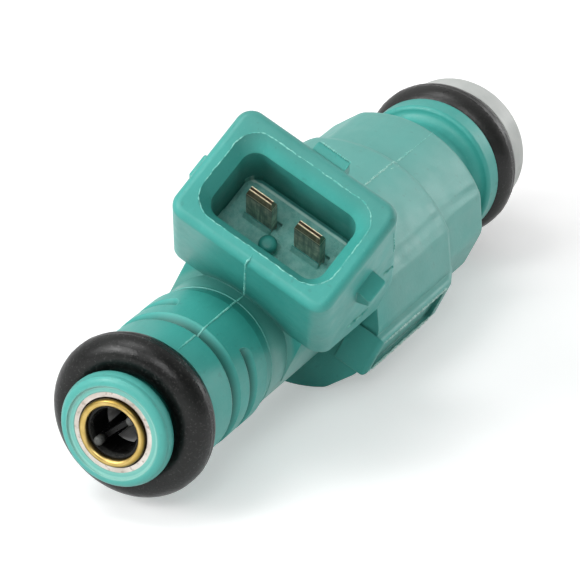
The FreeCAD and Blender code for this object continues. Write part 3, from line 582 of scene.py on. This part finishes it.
def flash_green():
    """The same nylon where it squeezed out thin at the mould's joints: paler, with a broken edge."""
    paint, tree, shader = finish_start("green_flash", Roughness=0.4, IOR=1.5)
    place = place_from(tree)
    cloud = spread(tree, grain(tree, place, 900.0, 4.0), 0.38, 0.6, 0.0, 1.0)
    colour = blend_colour(tree, cloud, FLASH_DEEP, FLASH_PALE)
    along = dotted(tree, place, ALONG, 0.0)
    barrel = spread(tree, along, 12.0 * MM, 20.0 * MM, 0.0, 1.0)
    barrel = times(tree, barrel, spread(tree, along, 27.0 * MM, 33.0 * MM, 0.35, 0.0))
    colour = blend_colour(tree, barrel, colour, FLASH_BARREL)
    rise = dotted(tree, place, UPRIGHT, 0.0)
    sideways = dotted(tree, place, ACROSS, 0.0)
    low = times(
        tree,
        spread(tree, rise, 2.0 * MM, 4.0 * MM, 0.6, 0.0),
        spread(tree, sideways, 0.0, 5.0 * MM, 0.0, 1.0),
    )
    colour = blend_colour(tree, low, colour, FLASH_LOW)
    tree.links.new(colour, shader.inputs["Base Color"])
    tree.links.new(bumped(tree, grain(tree, place, 3200.0, 3.0), 0.00003, 0.6), shader.inputs["Normal"])
    return paint


def black_rubber():
    """Near-black rubber: a bloom like dust, fine pits, pale flecks where the crest's flash was trimmed, and
    painted light that makes the outlet ring paler.
    """
    paint, tree, shader = finish_start("rubber", Roughness=0.36, IOR=1.5, Specular_IOR_Level=0.36)
    place = place_from(tree)
    bloom = spread(tree, grain(tree, place, 260.0, 5.0), 0.4, 0.7, 0.0, 1.0)
    colour = blend_colour(tree, bloom, RUBBER_DEEP, RUBBER_BLOOM)
    dust = spread(tree, grain(tree, place, 5200.0, 2.0), 0.58, 0.7, 0.0, 0.5)
    colour = blend_colour(tree, dust, colour, RUBBER_DUST)
    # Painted light: the outlet ring paler, standing in for light on it.
    far_ring_light = spread(tree, dotted(tree, place, ALONG, 0.0), 3.0 * MM, 6.0 * MM, 0.5, 0.0)
    colour = blend_colour(tree, far_ring_light, colour, RUBBER_FAR_LIGHT)
    crest = spread(tree, from_axis(tree, place), 7.2 * MM, 7.27 * MM, 0.0, 1.0)
    torn = spread(tree, grain(tree, place, 4600.0, 4.0), 0.6, 0.72, 0.0, 0.6)
    torn = times(tree, crest, torn)
    colour = blend_colour(tree, torn, colour, RUBBER_TORN)
    tree.links.new(colour, shader.inputs["Base Color"])
    satin = spread(tree, grain(tree, place, 900.0, 4.0), 0.3, 0.7, 0.27, 0.42)
    tree.links.new(satin, shader.inputs["Roughness"])
    pits = bumped(tree, grain(tree, place, 2400.0, 4.0), 0.00004, 0.7)
    tree.links.new(bumped(tree, torn, 0.00004, 1.0, pits), shader.inputs["Normal"])
    return paint


def metal(name, dark, light, rough):
    """A metal whose colour and polish wander between two values, with fine pits."""
    paint, tree, shader = finish_start(name, Metallic=1.0, Roughness=rough)
    place = place_from(tree)
    cloud = spread(tree, grain(tree, place, METAL_CLOUD, 4.0), 0.35, 0.65, 0.0, 1.0)
    tree.links.new(blend_colour(tree, cloud, dark, light), shader.inputs["Base Color"])
    worn = spread(tree, grain(tree, place, METAL_CLOUD * 3.0, 4.0), 0.3, 0.7, rough * 0.75, rough * 1.3)
    tree.links.new(worn, shader.inputs["Roughness"])
    tree.links.new(bumped(tree, grain(tree, place, 3000.0, 3.0), METAL_PIT, 0.5), shader.inputs["Normal"])
    return paint


def mouth_steel():
    """Pale turned steel: fine turning rings about the axis, cloudy tarnish, dark pits, and a painted shade
    line in the crease against the brass.
    """
    paint, tree, shader = finish_start("inlet_steel", Metallic=1.0, Roughness=0.4)
    place = place_from(tree)
    cloud = spread(tree, grain(tree, place, 500.0, 5.0), 0.35, 0.65, 0.0, 1.0)
    colour = blend_colour(tree, cloud, STEEL_DARK, STEEL_PALE)
    spot = spread(tree, grain(tree, place, 2200.0, 4.0), 0.34, 0.44, 0.7, 0.0)
    colour = blend_colour(tree, spot, colour, STEEL_SPOT)
    radius = from_axis(tree, place)
    # Painted shade: a dark line on the steel in the crease against the brass.
    rim = inside(tree, radius, 3.0 * MM, 3.12 * MM, 0.08 * MM)
    colour = blend_colour(tree, times(tree, rim, 0.85), colour, STEEL_CREASE_SHADE)
    tree.links.new(colour, shader.inputs["Base Color"])
    worn = spread(tree, grain(tree, place, 1300.0, 4.0), 0.3, 0.7, 0.3, 0.5)
    tree.links.new(worn, shader.inputs["Roughness"])
    rings = tree.nodes.new("ShaderNodeTexNoise")
    rings.noise_dimensions = "1D"
    rings.inputs["Scale"].default_value = 9000.0
    rings.inputs["Detail"].default_value = 2.0
    tree.links.new(radius, rings.inputs["W"])
    tree.links.new(bumped(tree, rings.outputs["Fac"], 0.000012, 0.7), shader.inputs["Normal"])
    return paint


def rolled_brass():
    """Yellow brass, cloudy between two yellows, with painted shade on its outer half, at its foot against
    the steel and at its inner edge, so that its middle reads bright; faint spun lines.
    """
    paint, tree, shader = finish_start("filter_brass", Metallic=1.0, Roughness=0.26)
    place = place_from(tree)
    cloud = spread(tree, grain(tree, place, 600.0, 4.0), 0.35, 0.65, 0.0, 1.0)
    colour = blend_colour(tree, cloud, BRASS_DARK, BRASS_PALE)
    radius = from_axis(tree, place)
    # Painted shade across the ring's section, leaving its middle bright.
    outer = spread(tree, radius, 2.72 * MM, 2.92 * MM, 0.0, 0.85)
    colour = blend_colour(tree, outer, colour, BRASS_OUTER_SHADE)
    foot = spread(tree, radius, 2.93 * MM, 3.05 * MM, 0.0, 0.95)
    colour = blend_colour(tree, foot, colour, BRASS_FOOT_SHADE)
    inner = spread(tree, radius, 2.42 * MM, 2.52 * MM, 0.8, 0.0)
    colour = blend_colour(tree, inner, colour, BRASS_INNER_SHADE)
    tree.links.new(colour, shader.inputs["Base Color"])
    worn = spread(tree, grain(tree, place, 1400.0, 4.0), 0.3, 0.7, 0.28, 0.46)
    tree.links.new(worn, shader.inputs["Roughness"])
    tree.links.new(bumped(tree, grain(tree, place, 1100.0, 3.0), 0.00003, 0.5), shader.inputs["Normal"])
    return paint


def blade_metal():
    """Tin-plated blade: fine streaks along it, and a tarnished coined tip that starts at a painted shade
    line in the crease and a painted highlight line; the end face is painted dark as shade, with a painted
    brassy highlight along each of its long edges."""
    paint, tree, shader = finish_start("blade_metal", Metallic=0.75, Roughness=0.4)
    place = place_from(tree)
    streaks = grain(tree, streak_place(tree, place, OUT, 0.06), 4200.0, 3.0)
    colour = blend_colour(tree, spread(tree, streaks, 0.38, 0.62, 0.0, 1.0), BLADE_DARK, BLADE_PALE)
    cloud = spread(tree, grain(tree, place, 900.0, 4.0), 0.4, 0.65, 0.0, 0.7)
    colour = blend_colour(tree, cloud, colour, BLADE_CLOUD)
    height = dotted(tree, place, OUT, MIDDLE.dot(OUT))
    coined = spread(tree, height, -2.4 * MM, -2.3 * MM, 0.0, 1.0)
    colour = blend_colour(tree, times(tree, coined, 0.65), colour, BLADE_COINED)
    # Painted shade line in the crease, then a painted highlight line beside it.
    crease = inside(tree, height, -2.5 * MM, -2.42 * MM, 0.06 * MM)
    colour = blend_colour(tree, times(tree, crease, 0.85), colour, BLADE_CREASE_SHADE)
    shine = inside(tree, height, -2.3 * MM, -2.26 * MM, 0.05 * MM)
    colour = blend_colour(tree, times(tree, shine, 0.8), colour, BLADE_SHINE)
    # The end face painted dark as shade, with painted highlights along its long edges.
    tip = spread(tree, height, -1.42 * MM, -1.38 * MM, 0.0, 1.0)
    colour = blend_colour(tree, times(tree, tip, 0.96), colour, BLADE_TIP_SHADE)
    away = worked(tree, "ABSOLUTE", dotted(tree, place, AWAY, MIDDLE.dot(AWAY) + 0.15 * MM), 0.0)
    line = times(tree, spread(tree, height, -1.5 * MM, -1.44 * MM, 0.0, 1.0), 0.95)
    line = times(tree, line, spread(tree, away, 0.1 * MM, 0.14 * MM, 0.0, 1.0))
    colour = blend_colour(tree, line, colour, BLADE_EDGE_HIGHLIGHT)
    tree.links.new(colour, shader.inputs["Base Color"])
    tree.links.new(spread(tree, streaks, 0.3, 0.7, 0.32, 0.5), shader.inputs["Roughness"])
    tree.links.new(bumped(tree, streaks, 0.00002, 0.8), shader.inputs["Normal"])
    return paint


def plastic(name, dark, light, rough):
    """A moulded plastic whose colour wanders between two values, with a fine skin."""
    paint, tree, shader = finish_start(name, Roughness=rough, IOR=1.5)
    place = place_from(tree)
    cloud = spread(tree, grain(tree, place, PLASTIC_CLOUD, 4.0), 0.35, 0.65, 0.0, 1.0)
    tree.links.new(blend_colour(tree, cloud, dark, light), shader.inputs["Base Color"])
    worn = spread(tree, grain(tree, place, PLASTIC_CLOUD * 3.0, 4.0), 0.3, 0.7, rough * 0.8, rough * 1.2)
    tree.links.new(worn, shader.inputs["Roughness"])
    tree.links.new(bumped(tree, grain(tree, place, 3000.0, 3.0), 0.000015, 0.5), shader.inputs["Normal"])
    return paint


def basket_plastic():
    """Black plastic of the filter basket, dark inside, with painted light: grey patches on its front end and
    lugs.
    """
    paint, tree, shader = finish_start("black_plastic", Roughness=0.32, IOR=1.5, Specular_IOR_Level=0.2)
    place = place_from(tree)
    cloud = spread(tree, grain(tree, place, 600.0, 4.0), 0.35, 0.65, 0.0, 1.0)
    colour = blend_colour(tree, cloud, BASKET_DEEP, BASKET_PALE)
    along = dotted(tree, place, ALONG, 0.0)
    # Painted light: the front end and lugs painted grey in patches.
    lug = times(
        tree,
        spread(tree, along, 63.6 * MM, 64.0 * MM, 0.0, 0.9),
        spread(tree, from_axis(tree, place), 2.14 * MM, 2.2 * MM, 1.0, 0.1),
    )
    worn = spread(tree, grain(tree, place, 2400.0, 3.0), 0.35, 0.65, 0.5, 1.0)
    colour = blend_colour(tree, times(tree, lug, worn), colour, BASKET_MOUTH_LIGHT)
    tree.links.new(colour, shader.inputs["Base Color"])
    satin = spread(tree, grain(tree, place, 1500.0, 4.0), 0.3, 0.7, 0.24, 0.4)
    satin = worked(tree, "SUBTRACT", satin, times(tree, lug, 0.18))
    tree.links.new(satin, shader.inputs["Roughness"])
    tree.links.new(bumped(tree, grain(tree, place, 2600.0, 3.0), 0.00002, 0.5), shader.inputs["Normal"])
    return paint


def filter_cloth():
    """Pale filter cloth: fine bands of thread round the tube, a little wavy, over a cloudy white."""
    paint, tree, shader = finish_start("mesh_plastic", Roughness=0.6, IOR=1.5, Sheen_Weight=1.0)
    place = place_from(tree)
    weave = tree.nodes.new("ShaderNodeTexWave")
    weave.bands_direction = "X"
    weave.inputs["Scale"].default_value = 1500.0
    weave.inputs["Distortion"].default_value = 0.6
    tree.links.new(place, weave.inputs["Vector"])
    cloud = spread(tree, grain(tree, place, 500.0, 3.0), 0.35, 0.65, 0.0, 1.0)
    colour = blend_colour(tree, cloud, CLOTH_DARK, CLOTH_PALE)
    thread = times(tree, weave.outputs["Fac"], 0.3)
    colour = blend_colour(tree, thread, colour, CLOTH_THREAD)
    tree.links.new(colour, shader.inputs["Base Color"])
    tree.links.new(bumped(tree, weave.outputs["Fac"], 0.00002, 0.5), shader.inputs["Normal"])
    return paint


GREEN = moulded_green()
FLASH = flash_green()
RUBBER = black_rubber()
STEEL = mouth_steel()
BRASS = rolled_brass()
BLADE = blade_metal()
COPPER = metal("copper", (0.5, 0.2, 0.1, 1.0), (0.62, 0.26, 0.14, 1.0), 0.3)
CORE = metal("core_steel", (0.4, 0.4, 0.4, 1.0), (0.5, 0.5, 0.5, 1.0), 0.35)
SPRING = metal("spring_steel", (0.3, 0.3, 0.31, 1.0), (0.42, 0.42, 0.43, 1.0), 0.3)
NEEDLE = metal("needle_steel", (0.5, 0.5, 0.51, 1.0), (0.6, 0.6, 0.61, 1.0), 0.25)
SPACER = metal("spacer_steel", (0.42, 0.42, 0.42, 1.0), (0.55, 0.55, 0.54, 1.0), 0.35)
BLACK = basket_plastic()
MESH = filter_cloth()
BOBBIN = plastic("bobbin_plastic", (0.05, 0.045, 0.04, 1.0), (0.07, 0.06, 0.055, 1.0), 0.5)
WHITE = plastic("white_plastic", (0.5, 0.53, 0.51, 1.0), (0.6, 0.62, 0.6, 1.0), 0.45)

FINISHES = {
    "green_plastic": (GREEN, ("housing", "socket_shell")),
    "inlet_steel": (STEEL, ("inlet_tube",)),
    "filter_brass": (BRASS, ("filter_ring",)),
    "blade_metal": (BLADE, ("terminal_left", "terminal_right")),
    "copper": (COPPER, ("coil_lead_left", "coil_lead_right", "coil_winding")),
    "core_steel": (CORE, ("pole_washer", "flux_bracket", "valve_body", "armature", "adjusting_sleeve")),
    "spring_steel": (SPRING, ("return_spring",)),
    "needle_steel": (NEEDLE, ("needle", "valve_ball", "valve_seat", "needle_guide", "orifice_plate")),
    "spacer_steel": (SPACER, ("spacer_ring",)),
    "black_plastic": (BLACK, ("filter_frame",)),
    "mesh_plastic": (MESH, ("filter_mesh",)),
    "bobbin_plastic": (BOBBIN, ("coil_bobbin",)),
    "white_plastic": (WHITE, ("nozzle_cap",)),
}


def repaint():
    """Gives each carried-over node its finish."""
    for name, (paint, nodes) in FINISHES.items():
        for node in nodes:
            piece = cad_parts[node]
            if not piece.data.materials:
                piece.data.materials.append(paint)
            for index in range(len(piece.data.materials)):
                piece.data.materials[index] = paint


# ---- new pieces --------------------------------------------------------------------------------
def skin(name, rings, paint, slot, joined_up=False):
    """Mesh through rows of points, each row closed round on itself: two triangles in each gap between
    neighbouring rows. The last row meets the first if joined_up, and otherwise a fan to the row's mean
    closes each end. A sixth of the sum of a.(b x c) over the triangles a, b, c is the volume, and where it
    comes out negative every face is turned over."""
    rows, around = rings.shape[:2]
    number = np.arange(rows * around).reshape(rows, around)
    beside = np.roll(number, -1, axis=1)
    points = rings.reshape(-1, 3)
    last = rows if joined_up else rows - 1
    above = np.roll(number, -1, axis=0)[:last]
    above_beside = np.roll(beside, -1, axis=0)[:last]
    here, next_to = number[:last], beside[:last]
    faces = [
        np.stack((here, next_to, above_beside), axis=-1).reshape(-1, 3),
        np.stack((here, above_beside, above), axis=-1).reshape(-1, 3),
    ]
    if not joined_up:
        ends = np.stack((rings[0].mean(axis=0), rings[-1].mean(axis=0)))
        pole = np.full(around, len(points))
        faces.append(np.stack((beside[0], number[0], pole), axis=-1))
        faces.append(np.stack((number[-1], beside[-1], pole + 1), axis=-1))
        points = np.concatenate((points, ends))
    faces = np.concatenate(faces)
    a, b, c = (points[faces[:, corner]] for corner in range(3))
    if np.einsum("ij,ij->i", a, np.cross(b, c)).sum() < 0:
        faces = faces[:, ::-1]
    mesh = bpy.data.meshes.new(name)
    mesh.from_pydata(points.tolist(), [], faces.tolist())
    mesh.polygons.foreach_set("use_smooth", np.ones(len(faces), dtype=bool))
    mesh.materials.append(paint)
    mesh.update()
    piece = bpy.data.objects.new(name, mesh)
    scene.collection.objects.link(piece)
    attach(piece, "injector")
    return piece


def ripple(share, waves, seed):
    """Uneven swell between about -1 and 1: the sum of sines with waves whole turns over share, each with its
    own start from the seed, over the root of their number."""
    start = np.random.default_rng(seed).uniform(0.0, 2.0 * math.pi, len(waves))
    turns = 2.0 * math.pi * np.outer(share, waves) + start
    return np.sin(turns).sum(axis=1) / math.sqrt(len(waves) / 2.0)


RING_MIDDLE = 5.53
RING_CORD = 1.765
RING_CREST = 7.272
LAND_EDGE = 0.25
LAND_SOFT = 0.06
LAND_TEAR = 0.022


def seal_ring(name, node, station):
    """O-ring: round the axis at each angle a runs the circle r = middle + cord cos b and
    x = station + cord sin b. It is cut off at the crest by the mould's land. The land's two edges, one
    either side of the middle, stand proud by a thin torn line, tear exp(-((x - edge) / soft)^2) high, that
    comes and goes round the ring."""
    share = np.arange(288) / 288
    turn = 2.0 * math.pi * share
    section = np.arange(96) * 2.0 * math.pi / 96
    section = section - 0.8 * np.sin(section)
    across = RING_CORD * np.sin(section)
    radius = np.minimum(RING_MIDDLE + RING_CORD * np.cos(section), RING_CREST)
    land = np.exp(-((np.abs(across) - LAND_EDGE) / LAND_SOFT) ** 2) * (np.cos(section) > 0.0)
    torn = 0.5 + 0.5 * ripple(share, np.array((5, 11, 23, 41, 67)), 11)
    height = radius[None, :] + LAND_TEAR * land[None, :] * np.clip(torn, 0.0, 1.2)[:, None]
    along = np.broadcast_to(station + across[None, :], height.shape)
    rings = np.stack((along, height * np.cos(turn)[:, None], height * np.sin(turn)[:, None]), axis=-1)
    piece = skin(name, lay(rings), RUBBER, "rubber", joined_up=True)
    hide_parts(node)


def closing_spring():
    """Return spring: at turn angle t the wire's middle is at x = start + rise t / (2 pi turns),
    y = coil sin t, z = -coil cos t. A circle of the wire's radius, square to the wire's run, is carried
    along it and closed at each end."""
    wire, coil, turns = 0.2, 1.15, 6.5
    low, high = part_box("return_spring")
    back, front = low[0] / MM, high[0] / MM
    share = np.linspace(0.0, 1.0, 241)
    turn = 2.0 * math.pi * turns * share
    outward = np.stack((np.zeros_like(turn), np.sin(turn), -np.cos(turn)), axis=-1)
    middle = coil * outward
    middle[:, 0] = back + wire + (front - back - 2.0 * wire) * share
    run = np.gradient(middle, axis=0)
    square = np.cross(run / np.linalg.norm(run, axis=1)[:, None], outward)
    around = np.arange(16) * 2.0 * math.pi / 16
    rings = middle[:, None, :] + wire * np.cos(around)[None, :, None] * outward[:, None, :]
    rings = rings + wire * np.sin(around)[None, :, None] * square[:, None, :]
    piece = skin("closing_spring", lay(rings), SPRING, "spring_steel")
    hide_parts("return_spring")
    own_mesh(piece)


def evened(corners, count):
    """Points at even distances along the straight runs through corners."""
    corners = np.array(corners, dtype=float)
    run = np.concatenate(((0.0,), np.cumsum(np.linalg.norm(np.diff(corners, axis=0), axis=1))))
    at = np.linspace(0.0, run[-1], count)
    return np.stack([np.interp(at, run, corners[:, k]) for k in range(3)], axis=-1)


def bead(name, path, sideways, width, height, rough, seed, ring=False):
    """Mould flash: at each point of the path an ellipse, width across and height out, half sunk in the
    surface. Both shrink to nothing at the ends as the root of the distance, unless the path is a ring, and
    the height swells by rough."""
    ahead = np.roll(path, -1, axis=0) - np.roll(path, 1, axis=0)
    step = ahead if ring else np.gradient(path, axis=0)
    step = step / np.linalg.norm(step, axis=1)[:, None]
    sideways = np.broadcast_to(np.array(sideways, dtype=float), path.shape)
    outward = np.cross(sideways, step)
    outward /= np.linalg.norm(outward, axis=1)[:, None]
    share = np.arange(len(path)) / (len(path) if ring else len(path) - 1)
    fade = np.sqrt(np.clip(np.minimum(share, 1.0 - share) / 0.08, 0.02, 1.0))
    if ring:
        fade = np.ones(len(path))
    waves = np.array((7, 16, 29, 43, 67, 101))
    swell = np.clip(1.0 + rough * ripple(share, waves, seed), 0.04, 2.2)
    sway = 0.22 * rough * width * ripple(share, waves[:4], seed + 1)
    turn = np.arange(12) * 2.0 * math.pi / 12
    middle = path + sideways * sway[:, None]
    across = np.cos(turn)[None, :] * width / 2.0 * (fade * np.sqrt(swell))[:, None]
    up = np.sin(turn)[None, :] * (height * fade * swell)[:, None]
    rings = middle[:, None, :] + sideways[:, None, :] * across[..., None]
    rings = rings + outward[:, None, :] * up[..., None]
    skin(name, lay(rings), FLASH, "green_plastic", joined_up=ring)


def neck_flash():
    """Line where the two halves of the mould met: over the collar, down into the notch, along the neck, over
    the parting ring, up the socket's near wall and over its rim."""
    collar, notch_floor, neck_top = 6.3, 5.44, 6.34
    turn = np.linspace(0.0, math.pi / 2.0, 8)
    rise = [(55.0 - 2.7 * a / math.pi, 0.15, neck_top - 0.9 * math.cos(a)) for a in turn]
    neck = [(58.55, 0.15, collar), (55.2, 0.15, collar), (55.19, 0.15, notch_floor), *rise]
    neck += [(48.75, 0.13, neck_top), (48.0, 0.05, 6.17), (47.3, 0.06, 6.06), (46.0, 0.06, 6.02)]
    bead("neck_mould_line", evened(neck, 260), FLAT_ACROSS, 0.17, 0.045, 0.2, 3)
    wall = [(0.06, -5.75, -9.2), (0.16, -5.75, -3.0), (0.2, -5.75, -0.45), (0.23, -5.6, -0.1)]
    wall += [(0.25, -5.3, 0.0), (0.25, -4.6, 0.0)]
    bead("socket_mould_line", evened(from_socket(np.array(wall)), 200), FLAT_ACROSS, 0.17, 0.04, 0.4, 5)


def mouth_flash():
    """Broken line of flash round the edge where the socket's rim turns in: at angle a the rounded rectangle
    sign(cos a) (half long - corner) + corner cos a, sign(sin a) (half wide - corner) + corner sin a."""
    half_long, half_wide, corner = 6.75, 4.4, 2.3
    angle = (np.arange(64) + 0.5) * 2.0 * math.pi / 64
    across = np.sign(np.cos(angle)) * (half_long - corner) + corner * np.cos(angle)
    away = np.sign(np.sin(angle)) * (half_wide - corner) + corner * np.sin(angle)
    loop = np.stack((across, away, np.zeros(64)), axis=-1)
    loop = evened(np.concatenate((loop, loop[:1])), 901)[:-1]
    step = np.roll(loop, -1, axis=0) - np.roll(loop, 1, axis=0)
    inward = np.cross(step, np.array(FLAT_UP))
    inward /= np.linalg.norm(inward, axis=1)[:, None]
    path = from_socket(loop)
    sideways = from_socket(loop + inward) - path
    bead("mouth_flash", path, sideways, 0.09, 0.016, 1.0, 12, ring=True)


def side_flash():
    """Flash beside the two seams on each narrow side of the socket, down its far corner, and round the free
    end of the key block."""
    for side, end, seed in ((1.0, "", 14), (-1.0, "_far", 24)):
        flip = np.array((1.0, side, 1.0))
        seam = evened(np.array([(40.8, 8.09, 6.0), (36.7, 8.03, 6.1)]) * flip, 120)
        bead("seam_flash" + end, seam, FLAT_UP, 0.2, 0.07, 0.9, seed)
        seam = evened(np.array([(38.2, 8.09, 10.85), (36.2, 8.08, 10.7)]) * flip, 60)
        bead("upper_seam_flash" + end, seam, FLAT_UP, 0.17, 0.07, 0.9, seed + 1)
    corner = evened(from_socket(np.array(((8.08, 4.3, -2.2), (8.08, 4.6, -6.5), (8.06, 4.5, -8.0)))), 140)
    bead("corner_flash", corner, (1.0, 0.0, 0.0), 0.09, 0.04, 1.0, 16)
    key = evened(from_socket(np.array(((-1.2, 6.72, -0.68), (1.85, 6.72, -0.68), (1.88, 5.8, -0.66)))), 120)
    bead("key_flash", key, (0.75, 0.0, 0.66), 0.1, 0.05, 0.9, 17)


def wing_flash():
    """Ragged flash along the upper edge, the back end and the floor of the shallow window in each wing, and
    along the lower edge of the near one."""
    outer, floor, edge = 10.05, 9.6, 1.62
    for side, end, seed in ((1.0, "", 18), (-1.0, "_far", 28)):
        flip = np.array((1.0, side, 1.0))
        upper = np.array([(32.9, outer, edge), (20.0, outer, edge), (19.95, outer, -0.6)])
        upper = evened(upper * flip, 300)
        bead("wing_flash" + end, upper, FLAT_UP, 0.24, 0.06, 0.8, seed)
        middle = evened(np.array([(32.4, floor, 0.55), (20.6, floor, 0.55)]) * flip, 260)
        bead("middle_wing_flash" + end, middle, FLAT_UP, 0.16, 0.05, 1.0, seed + 2)
    lower = evened([(33.0, outer, -edge), (20.2, outer, -edge)], 260)
    bead("lower_wing_flash", lower, FLAT_UP, 0.24, 0.05, 1.0, 19)


def barrel_flash():
    """Torn line of flash along the top of the barrel, over the step at the end of its wide part."""
    wide, narrow = 8.1, 7.45
    line = [(24.6, 0.0, wide), (18.4, 0.0, wide), (17.9, 0.0, 8.0), (17.45, 0.0, 7.78)]
    line += [(17.15, 0.0, narrow), (13.6, 0.0, narrow)]
    rear = [(13.8, 0.0, narrow), (8.9, 0.0, narrow)]
    nick = [(19.3, 0.35, 8.09), (17.9, 0.6, 7.98)]
    bead("barrel_flash", evened(line, 360), FLAT_ACROSS, 0.14, 0.022, 1.0, 7)
    bead("rear_mould_line", evened(rear, 80), FLAT_ACROSS, 0.06, 0.006, 1.0, 9)
    bead("barrel_nick", evened(nick, 40), FLAT_ACROSS, 0.12, 0.03, 0.5, 10)


camera()
studio()
repaint()
seal_ring("inlet_ring", "inlet_seal", INLET_SEAL)
seal_ring("outlet_ring", "outlet_seal", OUTLET_SEAL)
closing_spring()
neck_flash()
mouth_flash()
side_flash()
wing_flash()
barrel_flash()
